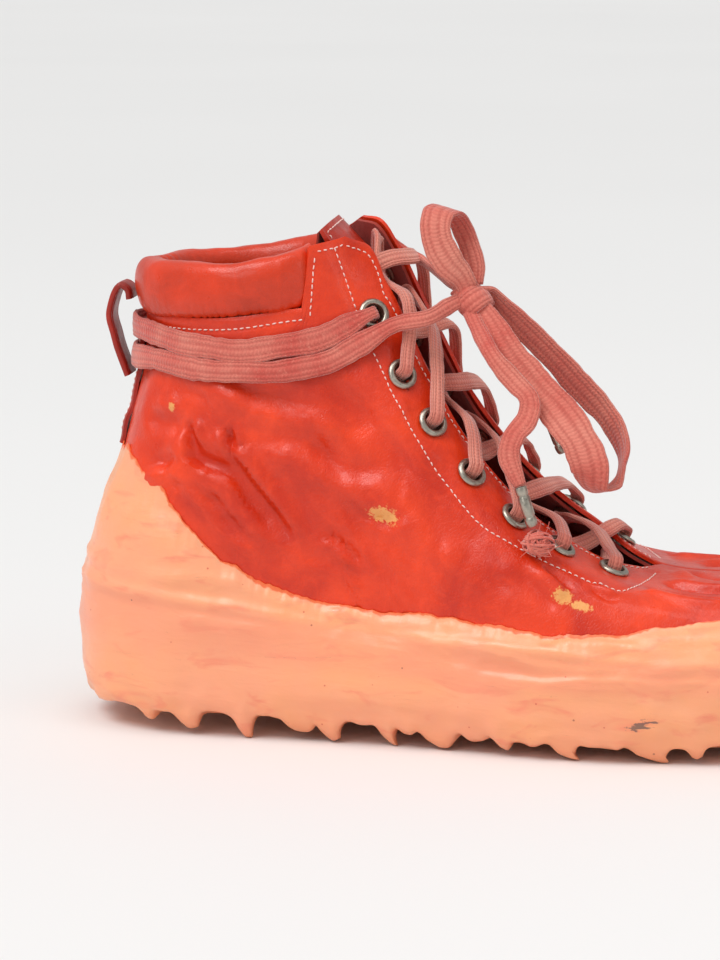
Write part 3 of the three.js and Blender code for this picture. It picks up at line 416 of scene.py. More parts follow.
def lumps(points, size, seed):
    """Lumps on lumps, with the small ones riding on the large."""
    warp = np.stack([waves(points, size * 2, seed + k) for k in (11, 12, 13)], -1) * size * 0.25
    return waves(points + warp, size, seed) + 0.4 * waves(points + warp, size * 0.45, seed + 1)


# ---- Meshes ----


def mesh_object(name, points, faces, attributes=None, uv=None, smooth_faces=True):
    """An object of points in the boot's own frame, at the origin of the row frame."""
    mesh = bpy.data.meshes.new(name)
    mesh.from_pydata(placed(points).tolist(), [], faces)
    for key, values in (attributes or {}).items():
        mesh.attributes.new(key, "FLOAT", "POINT").data.foreach_set("value", np.asarray(values, np.float32))
    if uv is not None:
        layer = mesh.uv_layers.new(name="weave")
        layer.data.foreach_set("uv", np.asarray(uv, np.float32).ravel())
    mesh.validate()
    mesh.polygons.foreach_set("use_smooth", [smooth_faces] * len(mesh.polygons))
    mesh.update()
    piece = bpy.data.objects.new(name, mesh)
    bpy.context.scene.collection.objects.link(piece)
    return piece


def dress(piece, material, body="boot", replaces=(), slot=None):
    """Gives a piece its material, its body, the CAD nodes that it stands for and its slot."""
    piece.data.materials.clear()
    piece.data.materials.append(material)
    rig.ride(piece, body)
    if replaces:
        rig.replaces(piece, *replaces)
    if slot:
        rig.slot(piece, slot)
    return piece


def sheet(name, grids, holes=(), hole_radius=0.0, sharp=35):
    """A closed sheet of pairs of grids, each (low, high, turned, attributes), with round holes through it."""
    low = np.concatenate([g[0].reshape(-1, 3) for g in grids])
    high = np.concatenate([g[1].reshape(-1, 3) for g in grids])
    quads, start = [], 0
    for g in grids:
        rows, columns = g[0].shape[:2]
        index = start + np.arange(rows * columns).reshape(rows, columns)
        quad = np.stack([index[:-1, :-1], index[:-1, 1:], index[1:, 1:], index[1:, :-1]], -1).reshape(-1, 4)
        quads.append(quad[:, ::-1] if g[2] else quad)
        start += rows * columns
    quads = np.concatenate(quads)
    key = np.round(np.hstack([low, high]) * 500).astype(np.int64)
    _, first, inverse = np.unique(key, axis=0, return_index=True, return_inverse=True)
    low, high, quads = low[first], high[first], inverse.ravel()[quads]
    keys = grids[0][3].keys() if len(grids[0]) > 3 else ()
    attributes = {k: np.tile(np.concatenate([g[3][k].ravel() for g in grids])[first], 2) for k in keys}
    if len(holes):
        middle = high[quads].mean(1)
        inside = np.zeros(len(quads), bool)
        for centre, out in holes:
            d = middle - centre
            across = d - (d @ out)[:, None] * out
            inside |= (np.linalg.norm(across, axis=1) < hole_radius) & (np.abs(d @ out) < 6)
        quads = quads[~inside]
    loops = []
    for q in quads.tolist():
        ring = [a for k, a in enumerate(q) if a != q[k - 1]]
        if len(set(ring)) == len(ring) and len(ring) > 2:
            loops.append(ring)
    n = len(low)
    edges = np.array([(a, ring[(k + 1) % len(ring)]) for ring in loops for k, a in enumerate(ring)])
    free = ~np.isin(edges[:, 0] * n + edges[:, 1], edges[:, 1] * n + edges[:, 0])
    faces = [[a + n for a in ring] for ring in loops] + [ring[::-1] for ring in loops]
    faces += [[p, q, q + n, p + n] for p, q in edges[free].tolist()]
    used = np.zeros(2 * n, bool)
    used[[a for f in faces for a in f]] = True
    renumbered = (np.cumsum(used) - 1).tolist()
    faces = [[renumbered[a] for a in f] for f in faces]
    points = np.concatenate([low, high])[used]
    piece = mesh_object(name, points, faces, {k: a[used] for k, a in attributes.items()})
    shade_by_angle(piece, sharp)
    return piece


def shade_by_angle(piece, degrees):
    """Smooth shading, apart from edges sharper than that."""
    bpy.ops.object.select_all(action="DESELECT")
    piece.select_set(True)
    bpy.context.view_layer.objects.active = piece
    bpy.ops.object.shade_smooth_by_angle(angle=math.radians(degrees))


def ring_tube(name, rings, attributes=None, sharp=40):
    """A closed tube through rings of points, capped at both ends."""
    count, around = rings.shape[:2]
    faces = []
    for r in range(count - 1):
        for k in range(around):
            a, b = r * around + k, r * around + (k + 1) % around
            faces.append([a, b, b + around, a + around])
    middles = np.array([rings[0].mean(0), rings[-1].mean(0)])
    first = count * around
    last = (count - 1) * around
    for k in range(around):
        n = (k + 1) % around
        faces += [[first, n, k], [first + 1, last + k, last + n]]
    points = np.concatenate([rings.reshape(-1, 3), middles])
    values = {k: np.append(a.ravel(), [0, 0]) for k, a in (attributes or {}).items()}
    piece = mesh_object(name, points, faces, values)
    shade_by_angle(piece, sharp)
    return piece


def arc_length(points):
    """How far along a line of points each one lies."""
    return np.concatenate([[0], np.cumsum(np.linalg.norm(np.diff(points, axis=0), axis=1))])


def along_line(at, length, points):
    """Points, or directions, at those distances along a line."""
    return np.stack([np.interp(at, length, points[:, k]) for k in range(3)], -1)


def even_stations(first, last, spacing, level, extra=()):
    """Stations spaced evenly along the skin at a level, with extra ones put in."""
    s = np.linspace(first, last, 1200)
    length = arc_length(skin(LATERAL, s, level))
    count = int(length[-1] / spacing)
    even = np.interp(np.linspace(0, length[-1], count + 1), length, s)
    return np.unique(np.round(np.concatenate([even, [x for x in extra if first < x < last]]), 6))


# ---- The eyelets' places ----
EYELET_COUNT = 7
EYELET_FIRST, EYELET_LAST = 5.8, 9.9
EYELET_INSET = [(5.8, 0.36), (7, 0.4), (8.5, 0.58), (9.9, 0.36)]
EYELET_RADIUS, EYELET_HOLE = 5.0, 3.0
LEATHER, PLY_GAP, STIFFENER, LINING = 1.6, 0.8, 1.0, 1.0
UNDER_FLANGE = -LEATHER - PLY_GAP - STIFFENER - 0.6
FLANGE = 0.8


def eyelet_places(side):
    """The centre, outward direction, station and level of each eyelet on one side."""
    s = np.linspace(EYELET_FIRST, EYELET_LAST, EYELET_COUNT)
    v = through(EDGE[side], s) - through(EYELET_INSET, s)
    return list(zip(skin(side, s, v), normal(side, s, v), s, v))


EYELETS = {side: eyelet_places(side) for side in (LATERAL, MEDIAL)}
HOLES = {side: [(p[0], p[1]) for p in EYELETS[side]] for side in EYELETS}

# ---- Seams: rows of stitches as stations and levels on one side ----
REAR_LINE = [
    (5, 3.94), (5.35, 3.44), (5.65, 3.14), (5.95, 2.94), (6.25, 2.72), (6.8, 2.48), (7.25, 2.3), (7.8, 2.06),
    (8.45, 2.04), (9.25, 2.1), (9.85, 2.1), (10.08, 2.4), (10.25, 2.96), (10.36, 3.5),
]


def edge_line(side, inset):
    """A line a little behind a facing's front edge."""
    s = np.linspace(5.22, 10.3, 60)
    return [(a, through(EDGE[side], a) - inset) for a in s]


def seams(side):
    """The seams of the upper on one side."""
    return {
        "collar_seam": [(0.35, 3.38), (1.5, 3.375), (3, 3.37), (4.5, 3.375)],
        "panel_rear": [(4.52, 3.4), (4.55, 3.6), (4.58, 3.8), (4.62, 3.93)],
        "panel_top": [(4.66, 3.94), (4.9, 3.935), (5.2, 3.93)],
        "facing_edge": edge_line(side, 0.085),
        "facing_rear": REAR_LINE,
    }


def path_on_skin(side, pairs, spacing):
    """Stations and levels at an even spacing along a smooth line on the skin."""
    pairs = np.array(pairs, float)
    n = len(pairs) - 1
    ends = np.vstack([2 * pairs[0] - pairs[1], pairs, 2 * pairs[-1] - pairs[-2]])
    t = np.linspace(0, n, 40 * n + 1)
    i = np.minimum(t.astype(int), n - 1)
    w = spline_weights(t - i)
    line = sum(w[:, a, None] * ends[i + a] for a in range(4))
    # crease carries the painted shade in the creases' valleys; scuff is real rubbed wear
    p = skin(side, line[:, 0], np.minimum(line[:, 1], TOP))
    length = arc_length(p)
    at = np.linspace(0, length[-1], max(2, int(length[-1] / spacing) + 1))
    return np.interp(at, length, line[:, 0]), np.minimum(np.interp(at, length, line[:, 1]), TOP)


# ---- Creases: a line on the skin, the depth as a share of the deepest, the width and the ridge's side ----
CREASES = [
    (
        LATERAL,
        [(2.1, 2.5), (2.25, 2.42), (2.4, 2.14), (2.95, 1.98), (3.2, 1.68), (3.45, 1.44), (3.7, 1.28)],
        1.0, 2.6, 1,
    ),
    (LATERAL, [(2.8, 2.5), (2.9, 2.3), (3.15, 1.98), (3.4, 1.7), (3.6, 1.46), (3.72, 1.2)], 0.9, 1.8, -1),
    (LATERAL, [(1.4, 2.0), (1.65, 2.04), (2.0, 2.1), (2.35, 2.12), (2.7, 2.0)], 0.5, 2.2, 1),
    (LATERAL, [(2.3, 3.06), (2.7, 2.98), (3.4, 2.82), (4, 2.7), (4.6, 2.6), (5.2, 2.62)], 0.8, 3.4, 1),
    (LATERAL, [(2.9, 2.8), (3.5, 2.7), (4.1, 2.52), (4.5, 2.3)], 0.6, 3.2, -1),
    (LATERAL, [(2.15, 2.52), (2.22, 2.36), (2.4, 2.18)], 0.7, 1.6, -1),
    (LATERAL, [(2.86, 2.46), (2.95, 2.34), (3.1, 2.26), (3.3, 2.28)], 0.8, 1.7, 1),
    (LATERAL, [(3.5, 2.36), (4.1, 2.3), (4.7, 2.1), (5.3, 2.14), (5.9, 2.3)], 0.6, 4.2, 1),
    (LATERAL, [(4.7, 2.9), (5.3, 2.6), (5.9, 2.3), (6.2, 2.0)], 0.5, 4.0, -1),
    (LATERAL, [(3.9, 1.9), (4.5, 1.82), (5.2, 1.72), (5.9, 1.78)], 0.4, 3.0, -1),
    (LATERAL, [(4.1, 1.46), (4.3, 1.42), (4.6, 1.3), (4.75, 1.16)], 0.5, 1.6, 1),
    (LATERAL, [(2.3, 1.9), (2.7, 1.7), (3.0, 1.4), (3.4, 1.2)], 0.35, 2.4, 1),
    (LATERAL, [(1.2, 2.5), (1.7, 2.46), (2.1, 2.56)], 0.4, 3.0, -1),
    (LATERAL, [(6.2, 2.05), (6.9, 1.8), (7.5, 1.76), (8.2, 1.6)], 0.35, 4.0, 1),
    (LATERAL, [(7.1, 1.7), (7.5, 1.45), (8.1, 1.4)], 0.3, 3.0, -1),
    (LATERAL, [(8.8, 1.98), (9.1, 1.82), (9.2, 1.66)], 0.45, 1.5, 1),
    (LATERAL, [(9.5, 1.98), (9.7, 1.86), (9.9, 1.84)], 0.4, 1.3, -1),
    (LATERAL, [(8.3, 1.7), (8.6, 1.5), (8.9, 1.3)], 0.35, 2.2, -1),
    (LATERAL, [(10.2, 2.6), (10.45, 2.48), (10.7, 2.38), (11.2, 2.28)], 0.6, 2.0, 1),
    (LATERAL, [(10.4, 3.1), (10.8, 2.9), (11.4, 2.86)], 0.6, 2.0, -1),
    (LATERAL, [(10.7, 3.9), (10.9, 3.4), (11.3, 3.1)], 0.55, 2.4, 1),
    (LATERAL, [(11.4, 4.0), (11.5, 3.4), (11.6, 2.8), (11.9, 2.4)], 0.5, 3.0, 1),
    (LATERAL, [(5.5, 3.3), (5.75, 3.05), (6.1, 2.85)], 0.3, 2.0, -1),
    (MEDIAL, [(2.1, 2.6), (2.5, 2.2), (3.0, 1.9), (3.4, 1.5)], 0.8, 2.4, 1),
    (MEDIAL, [(2.9, 2.7), (3.6, 2.5), (4.3, 2.4), (5.0, 2.2)], 0.7, 3.6, -1),
    (MEDIAL, [(3.2, 2.1), (4.0, 2.0), (4.8, 1.8), (5.6, 1.8)], 0.6, 3.0, 1),
    (MEDIAL, [(4.6, 2.8), (5.2, 2.5), (5.8, 2.2)], 0.5, 3.4, -1),
    (MEDIAL, [(1.4, 2.3), (1.9, 2.3), (2.4, 2.4)], 0.4, 2.6, 1),
    (MEDIAL, [(6.3, 1.9), (7.0, 1.7), (7.8, 1.6)], 0.4, 3.4, 1),
    (MEDIAL, [(8.6, 1.8), (9.0, 1.6), (9.3, 1.4)], 0.4, 2.2, -1),
    (MEDIAL, [(10.3, 2.7), (10.7, 2.5), (11.2, 2.4)], 0.5, 2.2, 1),
    (MEDIAL, [(10.8, 3.6), (11.2, 3.2), (11.6, 2.9)], 0.5, 2.2, -1),
]
# Places where the dye has rubbed off, each a side, a station, a level, and a length and a height.
SCUFFS = [
    (LATERAL, 5.35, 1.76, 5.0, 2.6), (LATERAL, 5.5, 1.72, 3.0, 1.4), (LATERAL, 9.02, 1.56, 3.6, 2.6),
    (LATERAL, 9.28, 1.5, 4.2, 1.8), (LATERAL, 1.75, 2.62, 1.2, 1.8), (LATERAL, 2.45, 2.98, 1.0, 0.8),
    (MEDIAL, 6.8, 1.6, 4.0, 2.0), (MEDIAL, 11.4, 1.95, 5.0, 2.0),
]


def small_creases():
    """Short creases strewn over the quarters, most of them slanting down towards the toe."""
    rng = np.random.default_rng(42)
    made = []
    for side in (LATERAL, MEDIAL):
        for _ in range(70):
            s, v = rng.uniform(1.3, 6.2), rng.uniform(0.9, 2.9)
            slant = rng.normal(-0.35, 0.55)
            length = rng.uniform(0.25, 0.9)
            bow = rng.normal(0, 0.05)
            line = []
            for k in (0, 0.33, 0.67, 1):
                line.append((s + length * k, v + slant * length * k + bow * math.sin(math.pi * k)))
            depth, width, ridge = rng.uniform(0.05, 0.17), rng.uniform(0.8, 1.9), rng.choice([-1, 1])
            made.append((side, line, depth, width, ridge))
    return made


def crease_lines():
    """Each crease as points on the skin, with the direction across it."""
    lines = []
    for side, pairs, depth, width, ridge in CREASES + small_creases():
        s, v = path_on_skin(side, pairs, 1.2)
        p = skin(side, s, v)
        across = unit(np.cross(np.gradient(p, axis=0), normal(side, s, v)))
        share = np.linspace(0, 1, len(p))
        taper = smooth(share / 0.22) * smooth((1 - share) / 0.3)
        lines.append((p, across, depth * taper, width, ridge))
    return lines


CREASE_LINES = crease_lines()
# How far the leather may lie below and stand above the skin.
RELIEF_LIMITS = (-2.2, 1.7)


def relief(points):
    """How far the leather stands out from the skin at its points, and how deep in a crease each is, which the
    leather's colour paints as shade.
    """
    height = 0.42 * lumps(points, 28, 3) + 0.07 * lumps(points, 10, 5)
    worn = smooth((points[..., 2] - 60) / 25) * smooth((165 - points[..., 0]) / 40)
    height *= 0.35 + 0.65 * worn
    deep = bpy.context.scene.boot_sizes.crease_depth / MM
    shade = np.zeros(points.shape[:-1])
    flat_points = points.reshape(-1, 3)
    for line, across, depth, width, ridge in CREASE_LINES:
        lo, hi = line.min(0) - 4 * width, line.max(0) + 4 * width
        near = np.flatnonzero(((flat_points > lo) & (flat_points < hi)).all(1))
        if not len(near):
            continue
        d = flat_points[near, None, :] - line[None]
        r = np.linalg.norm(d, axis=2)
        k = r.argmin(1)
        rows = np.arange(len(near))
        signed = np.sign((d[rows, k] * across[k]).sum(1)) * ridge * r[rows, k]
        amount = depth[k]
        valley = np.exp(-((signed / width) ** 2))
        bank = np.exp(-(((signed - 1.7 * width) / (1.3 * width)) ** 2))
        height.reshape(-1)[near] += deep * amount * (0.95 * bank - valley)
        # the valley's share, which the leather's colour darkens as painted shade
        shade.reshape(-1)[near] += amount * np.exp(-((signed / (0.8 * width)) ** 2))
    return height, shade


def groove(points, lines, depth, width):
    """A dent along lines of points, such as a row of stitches makes."""
    flat_points = points.reshape(-1, 3)
    dent = np.zeros(len(flat_points))
    for line in lines:
        lo, hi = line.min(0) - 3 * width, line.max(0) + 3 * width
        near = np.flatnonzero(((flat_points > lo) & (flat_points < hi)).all(1))
        if len(near):
            r = np.linalg.norm(flat_points[near, None, :] - line[None], axis=2).min(1)
            dent[near] = np.minimum(dent[near], -depth * np.exp(-((r / width) ** 2)))
    return dent.reshape(points.shape[:-1])


def upper_relief(side, s, v):
    """The finished height of the upper's leather over the skin, and how deep in a crease each point is, painted as
    shade in the leather's colour.
    """
    points = skin(side, s, v)
    height, shade = relief(points)
    calm = np.ones(np.shape(height))
    for centre, out, _, _ in EYELETS[side]:
        r = np.linalg.norm(points - centre, axis=-1)
        calm = np.minimum(calm, smooth((r - 4.5) / 6))
    top = top_level(side, s)
    calm = np.minimum(calm, 0.3 + 0.7 * smooth((top - v) / 0.4))
    calm = np.where(np.asarray(s) < 0.5, np.minimum(calm, smooth(np.asarray(s) / 0.5)), calm)
    wrapped = smooth((v - 2.75) / 0.25) * smooth((6.2 - s) / 0.4)
    height = height * calm * (1 - 0.75 * wrapped)
    lines = [skin(side, *path_on_skin(side, pairs, 1.0)) for pairs in seams(side).values()]
    height = height + groove(points, lines, 0.35, 0.9)
    return np.clip(height, *RELIEF_LIMITS), shade * calm


# ---- Materials ----


def new_material(name):
    """A material with its shader and output, ready for nodes."""
    material = bpy.data.materials.new(name)
    material.use_nodes = True
    tree = material.node_tree
    return material, tree, tree.nodes["Principled BSDF"]


def node(tree, kind, inputs=(), **settings):
    """Adds a node with its settings, and sets or links each (socket, value) of its inputs."""
    made = tree.nodes.new(kind)
    for key, value in settings.items():
        setattr(made, key, value)
    for socket, value in inputs:
        if isinstance(value, bpy.types.NodeSocket):
            tree.links.new(value, made.inputs[socket])
        else:
            made.inputs[socket].default_value = value
    return made


def rgba(colour):
    """A colour with its alpha."""
    return (*colour[:3], 1.0)


def object_place(tree):
    """The place on the object, in metres."""
    return node(tree, "ShaderNodeTexCoord").outputs["Object"]


def noise(tree, place, size_mm, detail=3.0, roughness=0.55, distortion=0.0):
    """Noise with lumps of that size."""
    inputs = [("Vector", place), ("Scale", 1 / (size_mm * MM)), ("Detail", detail)]
    inputs += [("Roughness", roughness), ("Distortion", distortion)]
    return node(tree, "ShaderNodeTexNoise", inputs).outputs["Fac"]


def ranged(tree, value, low, high, to_low=0.0, to_high=1.0):
    """A value carried from one range to another, and held inside it."""
    made = node(
        tree,
        "ShaderNodeMapRange",
        [("Value", value), ("From Min", low), ("From Max", high), ("To Min", to_low), ("To Max", to_high)],
    )
    return made.outputs["Result"]


def mixed(tree, share, a, b, blend="MIX"):
    """Two colours mixed by a share."""
    made = node(tree, "ShaderNodeMix", data_type="RGBA", blend_type=blend)
    for socket, value in ((0, share), (6, a), (7, b)):
        if isinstance(value, bpy.types.NodeSocket):
            tree.links.new(value, made.inputs[socket])
        else:
            made.inputs[socket].default_value = value if socket == 0 else rgba(value)
    return made.outputs[2]


def maths(tree, operation, a, b=0.0):
    """One sum of two values."""
    return node(tree, "ShaderNodeMath", [(0, a), (1, b)], operation=operation).outputs[0]


def attribute(tree, name):
    """A value kept at the mesh's points."""
    return node(tree, "ShaderNodeAttribute", attribute_name=name).outputs["Fac"]


def bumped(tree, shader, *layers):
    """Heights, each (value, depth in mm), laid on each other as bumps."""
    below = None
    for height, depth in layers:
        inputs = [("Height", height), ("Distance", depth * MM), ("Strength", 1.0)]
        if below is not None:
            inputs.append(("Normal", below))
        below = node(tree, "ShaderNodeBump", inputs).outputs["Normal"]
    tree.links.new(below, shader.inputs["Normal"])


def set_shader(shader, **values):
    """Sets the shader's own sockets, named with underscores for spaces."""
    for key, value in values.items():
        shader.inputs[key.replace("_", " ")].default_value = value


def glazed_leather(name, base, deep, gloss=0.34, has_wear_and_crease_shade=True, relief_share=1.0):
    """Drum-dyed calf leather with a glazed finish: a soft shine, fine cells of grain and uneven dye; on the upper also
    rubbed wear and painted shade in the creases.
    """
    colours = bpy.context.scene.boot_colours
    material, tree, shader = new_material(name)
    place = object_place(tree)
    clouds = noise(tree, place, 26, 4.0, 0.6, 0.6)
    tone = mixed(tree, ranged(tree, clouds, 0.34, 0.7), deep, base)
    streaks = noise(tree, place, 7, 5.0, 0.65, 1.2)
    lighter = tuple(min(1.0, c * 1.15 + 0.004) for c in base)
    tone = mixed(tree, ranged(tree, streaks, 0.5, 0.78, 0.0, 0.4), tone, lighter)
    flecks = noise(tree, place, 1.6, 3.0, 0.6)
    tone = mixed(tree, ranged(tree, flecks, 0.56, 0.8, 0.0, 0.2), tone, deep)
    # on the upper: real rubbed wear, and painted shade in the creases
    if has_wear_and_crease_shade:
        # painted shade: the leather is darkened towards its deep tone along the creases' valleys, where shade falls
        tone = mixed(tree, ranged(tree, attribute(tree, "crease"), 0.05, 1.3, 0.0, 0.75), tone, deep)
        scuff = attribute(tree, "scuff")
        fray = ranged(tree, noise(tree, place, 1.3, 4.0, 0.7), 0.3, 0.7, -0.34, 0.34)
        rubbed = ranged(tree, maths(tree, "ADD", scuff, fray), 0.4, 0.62)
        tone = mixed(tree, rubbed, tone, tuple(colours.scuff))
    tree.links.new(tone, shader.inputs["Base Color"])
    shine = ranged(tree, noise(tree, place, 9, 3.0, 0.6), 0.3, 0.75, gloss - 0.07, gloss + 0.16)
    tree.links.new(shine, shader.inputs["Roughness"])
    set_shader(shader, Specular_IOR_Level=0.36, Coat_Weight=0.22, Coat_Roughness=0.16)
    grain = bpy.context.scene.boot_sizes.grain / MM
    cells = node(
        tree,
        "ShaderNodeTexVoronoi",
        [("Vector", place), ("Scale", 1 / (grain * MM)), ("Randomness", 1.0)],
        feature="DISTANCE_TO_EDGE",
    ).outputs["Distance"]
    bumped(
        tree,
        shader,
        (noise(tree, place, 6, 3.0, 0.55, 1.4), 0.24 * relief_share),
        (noise(tree, place, 2.2, 3.0, 0.55, 1.6), 0.12 * relief_share),
        (ranged(tree, cells, 0.0, 0.14), 0.035),
    )
    return material


def matt_leather(name, base, deep):
    """Unglazed lining leather: dry, with a short nap and hardly any shine."""
    material, tree, shader = new_material(name)
    place = object_place(tree)
    tone = mixed(tree, ranged(tree, noise(tree, place, 14, 4.0, 0.6), 0.3, 0.72), deep, base)
    tree.links.new(tone, shader.inputs["Base Color"])
    set_shader(shader, Roughness=0.78, Specular_IOR_Level=0.3, Sheen_Weight=0.25, Sheen_Roughness=0.5)
    bumped(tree, shader, (noise(tree, place, 4, 4.0, 0.6), 0.25), (noise(tree, place, 0.5, 2.0), 0.06))
    return material


def dipped_rubber():
    """Natural rubber from a dye bath: half-gloss, a little see-through, with blotches, specks and ledges."""
    colours = bpy.context.scene.boot_colours
    material, tree, shader = new_material("dipped natural rubber")
    place = object_place(tree)
    base, pink, film = tuple(colours.rubber), tuple(colours.rubber_pink), tuple(colours.rubber_film)
    warm = (base[0], base[1] * 1.03, base[2] * 0.88)
    tone = mixed(tree, ranged(tree, noise(tree, place, 34, 3.0, 0.5), 0.38, 0.62), base, warm)
    stretched = node(
        tree, "ShaderNodeMapping", [("Vector", place), ("Scale", (0.5, 0.5, 1.6))]
    ).outputs["Vector"]
    blotch = noise(tree, stretched, 9, 3.0, 0.55, 0.8)
    tone = mixed(tree, ranged(tree, blotch, 0.56, 0.72, 0.0, 0.62), tone, pink)
    pale = tuple(min(1.0, c * 1.1 + 0.03) for c in base)
    tone = mixed(tree, ranged(tree, noise(tree, stretched, 15, 4.0, 0.6), 0.56, 0.8, 0.0, 0.5), tone, pale)
    band = attribute(tree, "band")
    broken = ranged(tree, noise(tree, stretched, 22, 4.0, 0.6), 0.3, 0.7, 0.2, 0.75)
    band = maths(tree, "MULTIPLY", band, broken)
    tone = mixed(tree, band, tone, tuple(0.5 * (a + b) for a, b in zip(base, pink)))
    specks = ((7.0, 0.035, (3, 1, 2), "#D85A44"), (11.0, 0.026, (9, 5, 7), "#9A5440"))
    for size, share, seed_place, code in specks:
        moved = node(tree, "ShaderNodeMapping", [("Vector", place), ("Location", seed_place)])
        inputs = [("Vector", moved.outputs["Vector"]), ("Scale", 1 / (size * MM))]
        dots = node(tree, "ShaderNodeTexVoronoi", inputs, feature="F1").outputs["Distance"]
        tone = mixed(tree, ranged(tree, dots, share, share * 1.6, 0.75, 0.0), tone, linear(code))
    hair = node(
        tree,
        "ShaderNodeMapping",
        [("Vector", place), ("Rotation", (0.3, 0.5, 0.2)), ("Scale", (0.25, 0.25, 3.0))],
    )
    hairs = noise(tree, hair.outputs["Vector"], 5, 1.0, 0.4, 0.4)
    line = maths(tree, "ABSOLUTE", maths(tree, "SUBTRACT", hairs, 0.72))
    tone = mixed(tree, ranged(tree, line, 0.0, 0.0022, 0.5, 0.0), tone, linear("#B4735C"))
    thin = attribute(tree, "film")
    fray = ranged(tree, noise(tree, place, 3, 3.0), 0.3, 0.7, -0.3, 0.3)
    tone = mixed(tree, ranged(tree, maths(tree, "ADD", thin, fray), 0.45, 0.75), tone, film)
    dark = attribute(tree, "mark")
    fray = ranged(tree, noise(tree, stretched, 1.6, 3.0), 0.3, 0.7, -0.35, 0.35)
    dark = maths(tree, "ADD", dark, fray)
    tone = mixed(tree, ranged(tree, dark, 0.5, 0.62, 0.0, 0.8), tone, linear("#5E544E"))
    # painted shade: the underside and rounded bottom edge are darkened towards a deeper orange, where shade falls
    under = ranged(tree, attribute(tree, "under"), 0.2, 1.0, 0.0, 0.45)
    tone = mixed(tree, under, tone, linear("#E88A62"))
    tree.links.new(tone, shader.inputs["Base Color"])
    tree.links.new(ranged(tree, noise(tree, place, 12, 3.0), 0.3, 0.7, 0.3, 0.48), shader.inputs["Roughness"])
    set_shader(shader, Subsurface_Weight=0.12, Subsurface_Radius=(0.004, 0.0018, 0.001), Coat_Weight=0.15)
    set_shader(shader, Coat_Roughness=0.2, Specular_IOR_Level=0.45, Subsurface_Scale=1.0)
    swells, pits = noise(tree, stretched, 7, 4.0, 0.5, 0.5), noise(tree, place, 1.5, 2.0)
    bumped(tree, shader, (swells, 0.35), (pits, 0.04))
    return material


# One stitch of the lace's knit, a little coarser than a real one so that it shows.
KNIT_STITCH = 1.2


def cotton_lace(name):
    """Flat knitted cotton: lengthwise ribs, a slanting stitch in each rib, and a soft fuzz."""
    colours = bpy.context.scene.boot_colours
    material, tree, shader = new_material(name)
    place = object_place(tree)
    base, pale = tuple(colours.lace), tuple(colours.lace_pale)
    uv = node(tree, "ShaderNodeUVMap", uv_map="weave").outputs["UV"]
    parts = node(tree, "ShaderNodeSeparateXYZ", [("Vector", uv)])
    across, along = parts.outputs["X"], parts.outputs["Y"]
    ribs = bpy.context.scene.boot_sizes.lace_ribs
    turn = maths(tree, "MULTIPLY", across, 2 * ribs * math.pi * 2)
    rib = maths(tree, "ADD", maths(tree, "MULTIPLY", maths(tree, "SINE", turn), 0.5), 0.5)
    slant = maths(tree, "ABSOLUTE", maths(tree, "SINE", maths(tree, "MULTIPLY", turn, 0.5)))
    stitch = maths(tree, "MULTIPLY", along, 2 * math.pi / KNIT_STITCH)
    stitch = maths(tree, "SINE", maths(tree, "ADD", stitch, maths(tree, "MULTIPLY", slant, 2.6)))
    stitch = maths(tree, "ADD", maths(tree, "MULTIPLY", stitch, 0.5), 0.5)
    tone = mixed(tree, ranged(tree, noise(tree, place, 16, 4.0, 0.6), 0.36, 0.7, 0.0, 0.6), base, pale)
    tone = mixed(tree, ranged(tree, attribute(tree, "fade"), 0.0, 1.0, 0.0, 0.85), tone, pale)
    shadow = tuple(c * 0.66 for c in base)
    tone = mixed(tree, ranged(tree, rib, 0.0, 0.55, 0.42, 0.0), tone, shadow)
    tone = mixed(tree, ranged(tree, stitch, 0.0, 0.5, 0.2, 0.0), tone, shadow)
    fuzz = ranged(tree, noise(tree, place, 0.9, 2.0, 0.7), 0.55, 0.8, 0.0, 0.35)
    tone = mixed(tree, fuzz, tone, tuple(min(1, c * 1.3) for c in pale))
    tree.links.new(tone, shader.inputs["Base Color"])
    set_shader(shader, Roughness=0.92, Specular_IOR_Level=0.22, Sheen_Weight=0.45, Sheen_Roughness=0.45)
    bumped(tree, shader, (rib, 0.16), (stitch, 0.09), (noise(tree, place, 0.7, 3.0, 0.7), 0.1))
    return material


def sewing_thread():
    """Waxed polyester thread: pale, twisted, slightly shiny."""
    material, tree, shader = new_material("waxed sewing thread")
    place = object_place(tree)
    thread = tuple(bpy.context.scene.boot_colours.thread)
    dye = ranged(tree, noise(tree, place, 4, 3.0), 0.35, 0.75, 0.0, 0.6)
    tone = mixed(tree, dye, thread, linear("#EFA595"))
    tree.links.new(tone, shader.inputs["Base Color"])
    set_shader(shader, Roughness=0.6)
    bumped(tree, shader, (noise(tree, place, 0.25, 1.0), 0.05))
    return material


def worn_pewter(name):
    """Nickel-plated brass, antiqued and rubbed: grey with a warm cast, brighter where it is handled."""
    material, tree, shader = new_material(name)
    place = object_place(tree)
    metal = tuple(bpy.context.scene.boot_colours.metal)
    rubbed = ranged(tree, noise(tree, place, 1.8, 4.0, 0.65), 0.35, 0.7)
    tone = mixed(tree, rubbed, tuple(c * 0.62 for c in metal), metal)
    tree.links.new(tone, shader.inputs["Base Color"])
    shine = ranged(tree, noise(tree, place, 0.9, 3.0), 0.3, 0.7, 0.26, 0.5)
    tree.links.new(shine, shader.inputs["Roughness"])
    set_shader(shader, Metallic=1.0)
    bumped(tree, shader, (noise(tree, place, 0.8, 3.0), 0.03))
    return material


